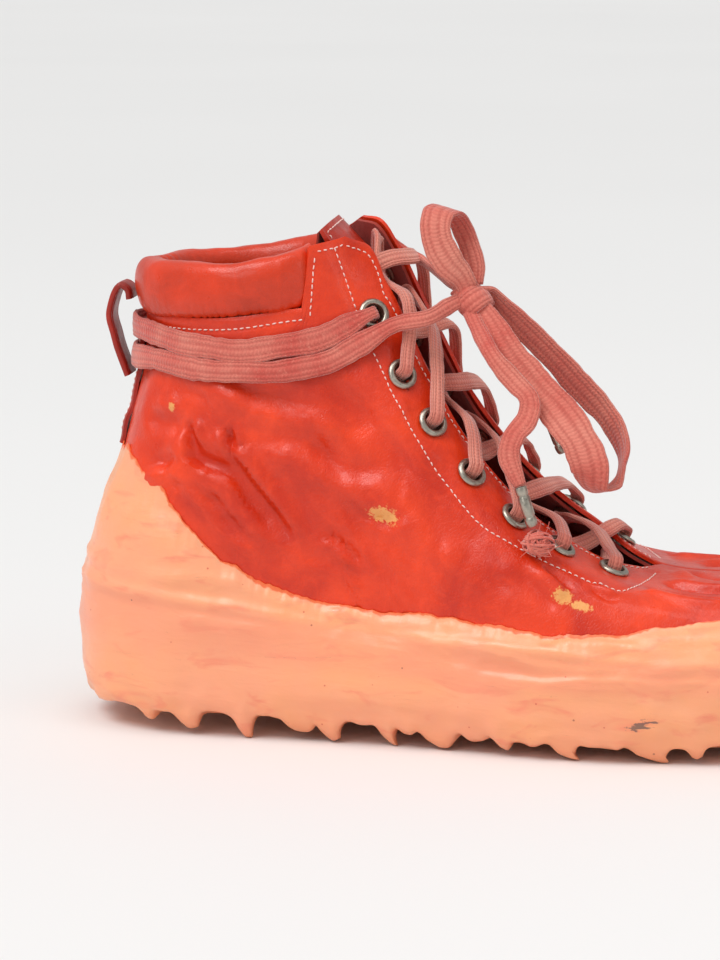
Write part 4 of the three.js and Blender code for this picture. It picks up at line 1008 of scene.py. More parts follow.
def plain_stuff(name, base, deep, size_mm, roughness, depth, metallic=0.0):
    """Inner parts, such as foam, board and steel: two tones and a bump of one size."""
    material, tree, shader = new_material(name)
    place = object_place(tree)
    share = ranged(tree, noise(tree, place, size_mm, 4.0, 0.65), 0.3, 0.7)
    tone = mixed(tree, share, linear(deep), linear(base))
    tree.links.new(tone, shader.inputs["Base Color"])
    set_shader(shader, Roughness=roughness, Metallic=metallic)
    bumped(tree, shader, (noise(tree, place, size_mm * 0.5, 3.0, 0.6), depth))
    return material


def darker(colour, share):
    """A darker shade of a colour."""
    return tuple(c * share for c in colour)


def between(a, b):
    """The colour halfway between two."""
    return tuple(0.5 * (c + d) for c, d in zip(a, b))


# How each material is made from the scene's colours.
MAKERS = {
    "upper": lambda c: glazed_leather("glazed calf leather", tuple(c.leather), tuple(c.leather_deep_and_crease_shade)),
    "collar": lambda c: glazed_leather(
        "soft glazed sheep leather", tuple(c.collar), darker(c.collar, 0.7), 0.33, False, 0.5
    ),
    "strap": lambda c: glazed_leather(
        "dark strap leather", tuple(c.strap), darker(c.strap, 0.5), 0.42, False
    ),
    "tongue": lambda c: glazed_leather(
        "dark tongue leather", between(c.strap, c.collar), tuple(c.strap), 0.36, False
    ),
    "lining": lambda c: matt_leather("unglazed lining leather", tuple(c.lining), darker(c.lining, 0.55)),
    "rubber": lambda c: dipped_rubber(),
    "lace": lambda c: cotton_lace("dyed cotton lace"),
    "thread": lambda c: sewing_thread(),
    "pewter": lambda c: worn_pewter("antiqued nickel plate"),
    "board": lambda c: plain_stuff("cellulose board", "#B08A5E", "#8A6840", 2.5, 0.9, 0.1),
    "foam": lambda c: plain_stuff("cork-filled sole foam", "#D9C9A6", "#A98F66", 2.0, 0.95, 0.15),
    "steel": lambda c: plain_stuff("spring steel", "#9CA0A4", "#74787C", 3.0, 0.35, 0.02, 1.0),
}
MATERIALS = {}


def material_for(key):
    """A material, made when it is first asked for."""
    if key not in MATERIALS:
        MATERIALS[key] = MAKERS[key](bpy.context.scene.boot_colours)
    return MATERIALS[key]


# ---- Camera, light and floor ----


def aimed(thing, direction):
    """Puts a camera or a lamp in the scene, looking along a direction."""
    bpy.context.scene.collection.objects.link(thing)
    thing.rotation_mode = "QUATERNION"
    thing.rotation_quaternion = direction.to_track_quat("-Z", "Y")


class BootStage(bpy.types.Operator):
    """Set the camera, the soft studio light and the pale floor"""

    bl_idname = "boot.stage"
    bl_label = "Camera and light"

    def execute(self, context):
        scene = context.scene
        azimuth, elevation, distance = math.radians(8), math.radians(10), 1.1
        target = Vector((-0.047, -0.0415, 0.086))
        back = Vector(
            (
                math.sin(azimuth) * math.cos(elevation),
                -math.cos(azimuth) * math.cos(elevation),
                math.sin(elevation),
            )
        )
        camera = bpy.data.objects.new("camera", bpy.data.cameras.new("camera"))
        camera.data.lens = 132
        camera.data.sensor_width = 36
        camera.location = target + back * distance
        aimed(camera, -back)
        camera.data.clip_start, camera.data.clip_end = 0.01, 50
        scene.camera = camera
        scene.view_settings.view_transform = "Standard"
        scene.view_settings.look = "None"

        world = bpy.data.worlds.new("studio")
        scene.world = world
        world.use_nodes = True
        world.node_tree.nodes["Background"].inputs["Color"].default_value = rgba(linear("#F2F3F3"))
        world.node_tree.nodes["Background"].inputs["Strength"].default_value = 0.6
        lamps = (
            ("top_softbox", (0.1, -0.25, 1.5), (0.7, 0.4), 2.6),
            ("front_softbox", (-0.9, -1.6, 0.9), (0.4, 0.4), 1.8),
            ("right_softbox", (1.6, -0.7, 0.7), (0.4, 0.8), 1.6),
        )
        for name, place, (width, height), power in lamps:
            light = bpy.data.lights.new(name, "AREA")
            light.shape = "RECTANGLE"
            light.size, light.size_y, light.energy = width, height, power
            lamp = bpy.data.objects.new(name, light)
            lamp.location = place
            aimed(lamp, Vector((0, 0, 0.08)) - Vector(place))

        light = bpy.data.lights.new("key", "SUN")
        light.energy, light.angle = 1.7, 0.6
        aimed(bpy.data.objects.new("key", light), Vector((0.5, 0.55, -1.1)))

        material, tree, shader = new_material("paper backdrop")
        share = ranged(tree, noise(tree, object_place(tree), 900, 2.0), 0.3, 0.7)
        tone = mixed(tree, share, linear("#EBEAE9"), linear("#EDECEB"))
        tree.links.new(tone, shader.inputs["Base Color"])
        set_shader(shader, Roughness=0.75, Specular_IOR_Level=0.2)
        bpy.ops.object.select_all(action="DESELECT")
        bpy.ops.mesh.primitive_plane_add(size=14)
        floor = context.object
        floor.name = "floor"
        floor.data.materials.append(material)
        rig.stage(floor)
        return {"FINISHED"}


# ---- Straps and the flat lace ----


def strap_line(stops, per_stop):
    """Points, facings and widths along stops, each (point, facing, width), on a smooth curve."""
    points = np.array([s[0] for s in stops], float)
    facings = np.array([s[1] for s in stops], float)
    widths = np.array([s[2] for s in stops], float)
    ends = np.vstack([2 * points[0] - points[1], points, 2 * points[-1] - points[-2]])
    line = []
    count = len(stops) - 1
    for k in range(count):
        p0, p1, p2, p3 = ends[k : k + 4]
        d0, d1, d2 = (max(math.sqrt(np.linalg.norm(b - a)), 1e-4) for a, b in ((p0, p1), (p1, p2), (p2, p3)))
        m1 = ((p1 - p0) / d0 - (p2 - p0) / (d0 + d1) + (p2 - p1) / d1) * d1
        m2 = ((p2 - p1) / d1 - (p3 - p1) / (d1 + d2) + (p3 - p2) / d2) * d1
        t = np.arange(per_stop + (k == count - 1)) / per_stop
        t = t[:, None]
        line.append(
            p1 + m1 * t + (-3 * p1 + 3 * p2 - 2 * m1 - m2) * t**2 + (2 * p1 - 2 * p2 + m1 + m2) * t**3
        )
    line = np.concatenate(line)
    at = np.arange(len(line)) / per_stop
    facing = along_line(at, np.arange(count + 1), facings)
    return line, facing, np.interp(at, np.arange(count + 1), widths)


def evened(line, facing, width, spacing):
    """The same line with its points at an even spacing, and its facings and widths eased."""
    length = arc_length(line)
    count = max(8, int(length[-1] / spacing))
    at = np.linspace(0, length[-1], count + 1)
    line = along_line(at, length, line)
    facing = along_line(at, length, facing)
    width = np.interp(at, length, width)
    kernel = np.array([1, 2, 3, 2, 1]) / 9

    def eased(values):
        return np.convolve(np.pad(values, 2, mode="edge"), kernel, "valid")

    facing = np.stack([eased(facing[:, k]) for k in range(3)], -1)
    return line, facing, eased(width), at


def ribbon(name, stops, thickness, spacing, seed, fade, scale=1.0, wander=0.25):
    """A flat lace along stops, with rounded edges, lengthwise ribs, and small irregularities."""
    line, facing, width, at = evened(*strap_line(stops, 12), spacing)
    tangent = unit(np.gradient(line, axis=0))
    facing = unit(facing - (facing * tangent).sum(1)[:, None] * tangent)
    across = np.cross(facing, tangent)
    width = width * scale * (1 + 0.05 * waves(line, 14, seed) + 0.03 * waves(line, 4, seed + 1))
    line = line + across * (wander * waves(line, 17, seed + 2))[:, None]
    around = 44
    angle = 2 * math.pi * np.arange(around) / around
    c, s = np.cos(angle), np.sin(angle)
    x = np.sign(c) * np.abs(c) ** 0.75 * 0.5
    y = np.sign(s) * np.abs(s) ** 0.55 * 0.5
    count = bpy.context.scene.boot_sizes.lace_ribs
    wave = 0.045 * np.cos(2 * math.pi * count * x) * (np.abs(x) < 0.47)
    y = y + np.sign(s) * wave
    squeeze = 1 + 0.35 * np.clip((6.5 - width) / 6.5, 0, 1)
    edge_lift = 0.18 * waves(line, 9, seed + 3)
    height = y[None] * thickness * squeeze[:, None] + edge_lift[:, None] * (2 * x[None]) ** 2
    rings = (
        line[:, None]
        + across[:, None] * (x[None, :, None] * width[:, None, None])
        + facing[:, None] * height[..., None]
    )
    piece_faces, uv = [], []
    for r in range(len(line) - 1):
        for k in range(around):
            n = (k + 1) % around
            piece_faces.append([r * around + k, r * around + n, (r + 1) * around + n, (r + 1) * around + k])
            u0, u1 = k / around, (k + 1) / around
            uv += [(u0, at[r]), (u1, at[r]), (u1, at[r + 1]), (u0, at[r + 1])]
    first, last = len(line) * around, (len(line) - 1) * around
    for k in range(around):
        n = (k + 1) % around
        piece_faces += [[first, n, k], [first + 1, last + k, last + n]]
        uv += [(0.25, at[0])] * 3 + [(0.25, at[-1])] * 3
    points = np.concatenate([rings.reshape(-1, 3), line[:1], line[-1:]])
    level = fade(line, width, at)
    values = np.append(np.repeat(level, around), [level[0], level[-1]])
    piece = mesh_object(name, points, piece_faces, {"fade": values}, uv)
    return piece, line, float(at[-1])


def free(x, y, z, facing, width):
    """A stop that isn't on the skin."""
    return (np.array([x, y, z], float), unit(facing), width)


def on_skin(side, s, v, n, width):
    """A stop at height n over the skin."""
    return (lifted(side, s, v, n), normal(side, s, v), width)


LACE_WIDTH, LACE_THICKNESS, BOW_WIDTH, TIGHT_WIDTH = 8, 2, 12, 4.4
FLANGE_LIFT = 0.8
OVER = FLANGE_LIFT + FLANGE + LACE_THICKNESS / 2 + 0.5
UNDER = UNDER_FLANGE - FLANGE - LACE_THICKNESS / 2 - 0.5
CROSSING = [(5.8, 4.35), (6.5, 4.35), (7.2, 3.4), (9.9, 3.4)]
CLIMB = 0.09
OUTWARD = (0.2, -1, 0.2)
FORWARD = (0.9, 0, 0.44)
UPPER_LOOP = [
    (130, -16.5, 144, OUTWARD, 6.5), (128.2, -18, 148, OUTWARD, 8), (124.5, -20, 152, OUTWARD, 10),
    (121, -20.5, 158, OUTWARD, 10), (119.5, -19.5, 164, OUTWARD, 10), (120.5, -16, 168, (0, -0.6, 1), 10),
    (123.5, -11.5, 167.5, (0.5, 0.5, 1), 10),
    (126.5, -9, 163, (0.6, 1, 0.3), 9), (129, -9, 157, (0.4, 1, 0.1), 8), (131, -11, 149.5, (0.3, 1, 0), 7),
    (131, -12.5, 144.5, (0.3, 1, 0), 6),
]
LOWER_LOOP = [
    (132.5, -12.5, 142.5, (0.5, 0.7, 0.5), 6), (136, -10, 142, (0.5, 0.7, 0.5), 7),
    (142, -9, 135.5, (0.45, 0.75, 0.45), 9),
    (152, -9, 125.5, (0.4, 0.8, 0.4), 11), (163, -10, 114.5, (0.4, 0.8, 0.4), BOW_WIDTH),
    (173, -12, 104, (0.5, 0.75, 0.35), BOW_WIDTH), (179.5, -16, 94, (0.9, 0.4, 0.05), BOW_WIDTH),
    (179, -21, 86.5, (0.8, -0.2, -0.6), BOW_WIDTH), (175, -27, 82.5, (0.1, -0.3, -1), BOW_WIDTH),
    (171.5, -32, 84, (-0.5, -0.6, -0.6), BOW_WIDTH), (170.5, -35.5, 90, (-0.1, -1, 0.1), BOW_WIDTH),
    (167.5, -34.5, 98, (0.2, -1, 0.3), BOW_WIDTH), (160.5, -31, 107, (0.3, -1, 0.4), 12),
    (151, -27, 116, OUTWARD, 11.5), (143, -23.5, 126, OUTWARD, 9.5), (136, -18.5, 135.5, OUTWARD, 6.5),
    (132.5, -16.5, 139, OUTWARD, 6),
]
LATERAL_TAIL = [
    (131, -18, 136.5, OUTWARD, 5), (133.5, -21.5, 132.5, OUTWARD, 5), (139, -29.5, 124, OUTWARD, 6),
    (146.5, -32, 116.5, OUTWARD, 7), (151, -34.5, 111.5, OUTWARD, 7),
    (150.5, -36.5, 106, (-0.3, -1, 0.2), 7), (147, -38, 101, (-0.4, -1, 0.1), 7),
    (145.5, -39, 95, (0, -1, 0), 7), (147, -40, 89.5, OUTWARD, 6), (149, -40.5, 85, OUTWARD, 4),
]
MEDIAL_TAIL = [
    (131.5, -11.5, 138.5, (0.5, 0.6, 0.5), 5), (134.5, -9, 136, (0.5, 0.6, 0.5), 5),
    (139, -3.5, 129, (0.5, 0.6, 0.5), 6),
    (145, -1.5, 119, (0.6, 0.4, 0.6), 7), (150.5, -2.5, 109.5, (0.6, 0.2, 0.6), 6),
    (154.5, -5, 102, (0.6, 0, 0.6), 4),
]
AGLET_LENGTH, AGLET_RADIUS = 13, 1.9
AGLET_TIPS = {"lateral": (154, -41.5, 70), "medial": (160, -9, 90)}
TUFT_RADIUS = 4.6


def lathe(name, profile, segments):
    """Turns a profile of (radius, height) round +Z, ring by ring, from a circle."""
    bpy.ops.object.select_all(action="DESELECT")
    radius, height = profile[0]
    bpy.ops.mesh.primitive_circle_add(
        vertices=segments,
        radius=radius * MM,
        fill_type="NGON" if radius < 0.1 else "NOTHING",
        location=(0, 0, height * MM),
    )
    piece = bpy.context.object
    piece.name = name
    bpy.ops.object.transform_apply(location=True, rotation=False, scale=False)
    bpy.ops.object.mode_set(mode="EDIT")
    bpy.ops.mesh.select_all(action="SELECT")
    if radius < 0.1:
        bpy.ops.mesh.delete(type="ONLY_FACE")
        bpy.ops.mesh.select_all(action="SELECT")
    for (r0, z0), (r1, z1) in zip(profile, profile[1:]):
        bpy.ops.mesh.extrude_region_move(TRANSFORM_OT_translate={"value": (0, 0, (z1 - z0) * MM)})
        share = r1 / r0
        bpy.ops.transform.resize(value=(share, share, 1), center_override=(0, 0, z1 * MM))
    bpy.ops.mesh.select_all(action="SELECT")
    bpy.ops.mesh.remove_doubles(threshold=2e-6)
    bpy.ops.mesh.select_all(action="DESELECT")
    bpy.ops.mesh.select_non_manifold(extend=False)
    bpy.ops.mesh.edge_face_add()
    bpy.ops.mesh.select_all(action="SELECT")
    bpy.ops.mesh.normals_make_consistent(inside=False)
    bpy.ops.object.mode_set(mode="OBJECT")
    return piece


def stood(template, name, place, out):
    """A copy of a turned piece, standing at a place of the boot's own frame."""
    mesh = template.data.copy()
    turn = Vector((0, 0, 1)).rotation_difference(Vector(out)).to_matrix().to_4x4()
    turn.translation = Vector(placed(place))
    mesh.transform(turn)
    copy = bpy.data.objects.new(name, mesh)
    bpy.context.scene.collection.objects.link(copy)
    shade_by_angle(copy, 40)
    return copy


class BootBow(bpy.types.Operator):
    """Make the bow: its knot, two loops, two tails, their aglets and the frayed end knot"""

    bl_idname = "boot.bow"
    bl_label = "Bow and lace ends"

    def execute(self, context):
        lace = material_for("lace")

        def pale(line, width, at):
            return 0.25 + 0.25 * waves(line, 30, 4)

        def cord(name, stops, body, width, far_end, pieces, replaces):
            made, line, length = ribbon(name, [free(*s) for s in stops], 1.7, 0.9, 7, pale)
            dress(made, lace, body, replaces, "cotton_lace")
            route = placed(line[::3]).tolist() + [placed(line[-1]).tolist()]
            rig.cord(
                made,
                exit=route[0],
                length=length * MM,
                diameter=width * MM,
                far_end=far_end,
                stiffness="limp",
                lay="hanging",
                path=route,
                with_pieces=pieces,
            )

        cord("bow_loop_upper_lace", UPPER_LOOP, "bow_loop_upper_body", 8.2, "object", [], ["bow_loop_upper"])
        cord("bow_loop_lower_lace", LOWER_LOOP, "bow_loop_lower_body", 11, "object", [], ["bow_loop_lower"])
        profile = [
            (0.05, 13), (1.35, 12.9), (1.75, 12.2), (1.9, 11), (1.9, 10.2), (1.66, 9.9), (1.66, 9.5),
            (1.9, 9.2), (1.9, 3.4), (1.66, 3.1), (1.66, 2.7), (1.9, 2.4), (1.95, 0.4), (1.8, 0), (1.45, 0),
            (1.4, 5.8), (0.05, 6),
        ]
        template = lathe("aglet_template", profile, 28)
        ends = {}
        for side, stops, node_name in (
            ("lateral", LATERAL_TAIL, "aglet_lateral"),
            ("medial", MEDIAL_TAIL, "aglet_medial"),
        ):
            end = np.array(stops[-1][:3], float)
            towards = unit(np.array(AGLET_TIPS[side], float) - end)
            metal = stood(template, node_name + "_metal", end + towards * 0.3, towards)
            dress(metal, material_for("pewter"), f"tail_{side}_body", [node_name], "pewter_metal")
            ends[side] = (metal, end + towards * (AGLET_LENGTH + 1))
        bpy.data.objects.remove(template)
        tuft = self.tuft(ends["lateral"][1] + [1.6, 0, -TUFT_RADIUS])
        dress(tuft, lace, "tail_lateral_body", ["lace_end_knot"], "cotton_lace")
        lateral = ends["lateral"][0]
        cord(
            "lace_tail_lateral_lace", LATERAL_TAIL, "tail_lateral_body", 6.3, "fitting", [lateral, tuft],
            ["lace_tail_lateral"],
        )
        cord(
            "lace_tail_medial_lace", MEDIAL_TAIL, "tail_medial_body", 5.9, "fitting", [ends["medial"][0]],
            ["lace_tail_medial"],
        )
        dress(self.knot(), lace, "boot", ["bow_knot"], "cotton_lace")
        return {"FINISHED"}

    def knot(self):
        """The knot: the lace wound round itself in a slanting band and a half."""
        centre = np.array([130.5, -14, 140.0])
        axis = unit([0.5, -0.12, -0.55])
        side = unit(np.cross(axis, [0, -1, 0]))
        front = np.cross(side, axis)
        stops = []
        for k in range(22):
            angle = 2 * math.pi * (k / 14.0) + 0.6
            reach = side * 4.3 * math.cos(angle) + front * 4.3 * math.sin(angle)
            drift = axis * (-2.2 + 4.4 * k / 21)
            stops.append((centre + reach * (0.82 + 0.02 * k / 2) + drift, unit(reach), 7.5))
        made, _, _ = ribbon("bow_knot_lace", stops, 2.6, 0.8, 23, lambda line, width, at: 0.2 + 0 * at)
        return made

    def tuft(self, centre):
        """The lace's frayed end: a small knot with loose threads."""
        rng = np.random.default_rng(12)
        points, faces, uv = [], [], []

        def strand(path, radius):
            tangent = unit(np.gradient(path, axis=0))
            a = unit(np.cross(tangent, [0.3, 0.8, 0.5]))
            b = np.cross(tangent, a)
            start = len(points)
            sides = 5
            for r, p in enumerate(path):
                size = radius * (1 - 0.5 * r / len(path))
                for k in range(sides):
                    turn = 2 * math.pi * k / sides
                    points.append(p + size * (a[r] * math.cos(turn) + b[r] * math.sin(turn)))
            for r in range(len(path) - 1):
                for k in range(sides):
                    n = (k + 1) % sides
                    one, two = start + r * sides, start + (r + 1) * sides
                    faces.append([one + k, one + n, two + n, two + k])
            end = start + (len(path) - 1) * sides
            faces.append([start + k for k in range(sides)][::-1])
            faces.append([end + k for k in range(sides)])

        for _ in range(34):
            u = unit(rng.normal(size=3))
            w = unit(np.cross(u, rng.normal(size=3)))
            t = np.linspace(0, rng.uniform(3.5, 5.5), 14)
            radius = TUFT_RADIUS * rng.uniform(0.55, 0.95)
            squash = np.array([1.25, 0.8, 0.95])
            strand(centre + (np.outer(np.cos(t), u) + np.outer(np.sin(t), w)) * radius * squash, 0.62)
        for _ in range(26):
            out = unit(rng.normal(size=3) * [1.2, 0.7, 1.0] + [-0.2, 0, 0.1])
            curl = rng.normal(size=3) * 1.6
            t = np.linspace(0, 1, 6)[:, None]
            start = centre + out * TUFT_RADIUS * 0.6
            reach = TUFT_RADIUS * rng.uniform(0.2, 0.42)
            strand(start + out * (TUFT_RADIUS * 0.3 + reach) * t + curl * t * t, 0.2)
        piece = mesh_object("lace_end_tuft", np.array(points), faces, {"fade": np.full(len(points), 0.0)})
        loops = sum(len(p.vertices) for p in piece.data.polygons)
        piece.data.uv_layers.new(name="weave").data.foreach_set("uv", [0.25, 0.0] * loops)
        return piece


class BootLacing(bpy.types.Operator):
    """Make the lacing through the eyelets and the two wraps round the shaft"""

    bl_idname = "boot.lacing"
    bl_label = "Lacing"

    def execute(self, context):
        lace = material_for("lace")

        def crossing_fade(line, width, at):
            return 0.75 + 0.25 * waves(line, 11, 8)

        def wrap_fade(line, width, at):
            return 0.05 + 0.2 * waves(line, 34, 9) + 0.5 * smooth((6 - width) / 2)

        for name, side, lift in (("lace_crossing_a", LATERAL, 1), ("lace_crossing_b", MEDIAL, -1)):
            stops = self.lacing(side, lift)
            made, _, _ = ribbon(name + "_lace", stops, 1.8, 0.9, 31 + side, crossing_fade, 1.12, 0.1)
            dress(made, lace, "boot", [name], "cotton_lace")
        for name, stops in (("lace_wrap_upper", self.upper_wrap()), ("lace_wrap_lower", self.lower_wrap())):
            made, _, _ = ribbon(name + "_lace", stops, 1.9, 0.9, 41, wrap_fade, 0.94, 0.3)
            dress(made, lace, "boot", [name], "cotton_lace")
        return {"FINISHED"}

    def through_eyelet(self, place, start, end, flip):
        """The lace from below, through the eyelet and out over the facing. flip turns its hidden face."""
        centre, out = place[0], place[1]

        def towards(p):
            d = p - centre
            return unit(d - out * (d @ out))

        back, on = towards(start), towards(end)

        def at(d, reach, lift):
            return centre + d * reach + out * lift

        stops = [
            (at(back, 3.4, UNDER - 0.3), out),
            (at(back, 0.6, UNDER + 0.3), out + back),
            (at(back, 0, UNDER + 2.4), back),
            (at(on, 0, 0), on),
            (at(on, 0.1, OVER - 1.6), on),
            (at(on, 1, OVER), on - out),
            (at(on, 3.4, OVER + 0.3), -out),
        ]
        return [(p, facing * flip, TIGHT_WIDTH) for p, facing in stops]

    def lacing(self, side, lift):
        """One half of the lace, from the bar under the lowest eyelets up to the top one."""

        def over_edge(at_side, k, climb, height):
            s = EYELETS[at_side][k][2] + climb
            return on_skin(at_side, s, through(EDGE[at_side], s) + 0.04, height, TIGHT_WIDTH)

        def middle_of(a, b, height):
            up = unit((a[1] + b[1]) * [1, 0, 1])
            return ((a[0] + b[0]) / 2 + up * height, up, TIGHT_WIDTH * 1.35)

        def turned(stop, flip):
            return (stop[0], stop[1] * flip, stop[2])

        bottom = EYELET_COUNT - 1
        bar = middle_of(over_edge(LATERAL, bottom, 0, UNDER), over_edge(MEDIAL, bottom, 0, UNDER), 0)
        start = over_edge(side, bottom, 0, UNDER)
        along = unit(start[0] - bar[0])
        stops = [(bar[0] + along * 0.2, bar[1], TIGHT_WIDTH), start]
        flip = 1
        came = start[0]
        for k in range(bottom, -1, -1):
            here = -side if (bottom - k) % 2 else side
            place = EYELETS[here][k]
            if k == 0:
                stops += self.through_eyelet(place, came, lifted(here, 5.2, 3.25, 0), flip)[:4]
                break
            over = over_edge(here, k, -CLIMB, OVER)
            under = over_edge(-here, k - 1, CLIMB, UNDER - 0.4)
            passing = self.through_eyelet(place, came, over[0], flip)
            flip = -flip
            stops += passing
            stops.append(turned(over, flip))
            stops.append(turned(middle_of(over, under, lift * float(through(CROSSING, place[2]))), flip))
            stops.append(turned(under, flip))
            came = under[0]
        return stops

    def out_of_top(self, side, s, v):
        """The first stops of a wrap, out of a top eyelet and back along the shaft."""
        to = lifted(side, s, v, 0)
        place = EYELETS[side][0]
        stops = self.through_eyelet(place, to, to, -1)[4:]
        return [(place[0] + place[1] * 0.3, stops[0][1], TIGHT_WIDTH)] + stops

    def upper_wrap(self):
        """Stops of the wrap from the outer top eyelet round the heel to the knot."""
        on_leather, on_strip = LACE_THICKNESS / 2 + 0.5, 2.0 + LACE_THICKNESS / 2 + 0.4
        outer = [(5.25, 3.26), (4.7, 3.19), (4, 3.17), (3, 3.18), (2, 3.23), (1.2, 3.29)]
        inner = [(1.2, 3.3), (2, 3.28), (3, 3.28), (4, 3.3), (4.6, 3.38), (5, 3.54), (5.35, 3.72)]
        return [
            *self.out_of_top(LATERAL, 5.2, 3.25),
            *[on_skin(LATERAL, s, v, on_leather, LACE_WIDTH) for s, v in outer],
            on_skin(LATERAL, 0.5, 3.32, on_strip, LACE_WIDTH),
            on_skin(LATERAL, 0, 3.33, on_strip + 0.3, LACE_WIDTH),
            on_skin(MEDIAL, 0.5, 3.32, on_strip, LACE_WIDTH),
            *[on_skin(MEDIAL, s, v, on_leather + 0.5, LACE_WIDTH) for s, v in inner],
            free(108, 13, 151, FORWARD, 6),
            free(116, 4, 147.5, FORWARD, 6),
            free(123, -6, 144, FORWARD, 5),
            free(129.5, -12.5, 141, FORWARD, 5),
        ]

    def lower_wrap(self):
        """Stops of the wrap from the inner top eyelet round the heel to the knot."""
        on_leather, on_strip = LACE_THICKNESS / 2 + 0.5, 2.0 + LACE_THICKNESS / 2 + 0.4
        inner = [(5.2, 3.12), (4.6, 3.03), (4, 2.99), (3, 2.97), (2, 2.98), (1.2, 3)]
        outer = [(1.2, 3.05), (2, 3.02), (3, 2.98), (4, 2.95), (4.8, 2.99), (5.4, 3.08)]
        return [
            *self.out_of_top(MEDIAL, 5.2, 3.1),
            *[on_skin(MEDIAL, s, v, on_leather, LACE_WIDTH) for s, v in inner],
            on_skin(MEDIAL, 0.5, 3.02, on_strip, LACE_WIDTH),
            on_skin(LATERAL, 0, 3.03, on_strip + 0.3, LACE_WIDTH),
            on_skin(LATERAL, 0.5, 3.02, on_strip, LACE_WIDTH),
            *[on_skin(LATERAL, s, v, on_leather, LACE_WIDTH) for s, v in outer],
            on_skin(LATERAL, 6.08, 3.2, OVER + 2.2, 6),
            free(118, -25, 135, (0.5, -0.8, 0.3), 5.5),
            free(124, -20, 138, (0.5, -0.8, 0.3), 5.5),
            free(129.5, -15.5, 140.5, (0.5, -0.8, 0.3), 5),
        ]


# ---- The upper ----


def scuff_share(side, points):
    """How far each point lies inside a rubbed place."""
    share = np.zeros(points.shape[:-1])
    for at, s, v, length, height in SCUFFS:
        if at == side:
            centre = skin(side, s, v)
            along = unit(skin(side, s + 0.1, v) - centre)
            d = points - centre
            x, r = d @ along, np.linalg.norm(d, axis=-1)
            y = np.sqrt(np.maximum(0, r**2 - x**2))
            share = np.maximum(share, np.exp(-((x / length) ** 2) - (y / height) ** 2))
    return share


class BootUpper(bpy.types.Operator):
    """Make the upper: one cut of glazed leather, creased and rubbed, open along the heel seam"""

    bl_idname = "boot.upper"
    bl_label = "Leather upper"

    def execute(self, context):
        shoulder = (FACING_REAR, FACING_REAR + SHOULDER / 2, FACING_REAR + SHOULDER)
        columns = even_stations(0.02, LAST, 1.25, 2.0, (*shoulder, 5.2, 5.3, THROAT))
        grids = []
        for side in (LATERAL, MEDIAL):
            hidden = through(RUBBER_TOP, columns) - 0.25
            top = top_level(side, columns)
            low_rows = np.linspace(0, 1, 5)[:-1, None] * hidden
            wide_rows = hidden + np.linspace(0, 1, 52)[:-1, None] * (3.0 - hidden)
            high_rows = 3.0 + np.linspace(0, 1, 25)[:, None] * (top - 3.0)
            v = np.concatenate([low_rows, wide_rows, high_rows])
            s = np.broadcast_to(columns, v.shape)
            height, shade = upper_relief(side, s, v)
            out = normal(side, s, v)
            points = skin(side, s, v)
            rounding = 0.45 * smooth(1 - (top - v) / 0.03)
            high = points + out * (height - rounding)[..., None]
            low = points + out * (np.minimum(height, 0.4) * 0.6 - LEATHER)[..., None]
            values = {"crease": shade, "scuff": scuff_share(side, points)}
            grids.append((low, high, side > 0, values))
        piece = sheet("leather_upper_hide", grids, HOLES[LATERAL] + HOLES[MEDIAL], 3.9, 50)
        dress(piece, material_for("upper"), "boot", ["leather_upper"], "leather_red")
        return {"FINISHED"}


def lining_top(side, s):
    """The lining's top border."""
    s = np.asarray(s, float)
    rise = COLLAR_SEAM - 0.06 + np.clip((s - FACING_REAR) / (5 - FACING_REAR), 0, 1) * 0.4
    front = np.where(s >= THROAT, TOP, np.minimum(through(FACING_LINE, s), TOP - 0.14) - 0.04)
    return np.where(s < 5, rise, front)


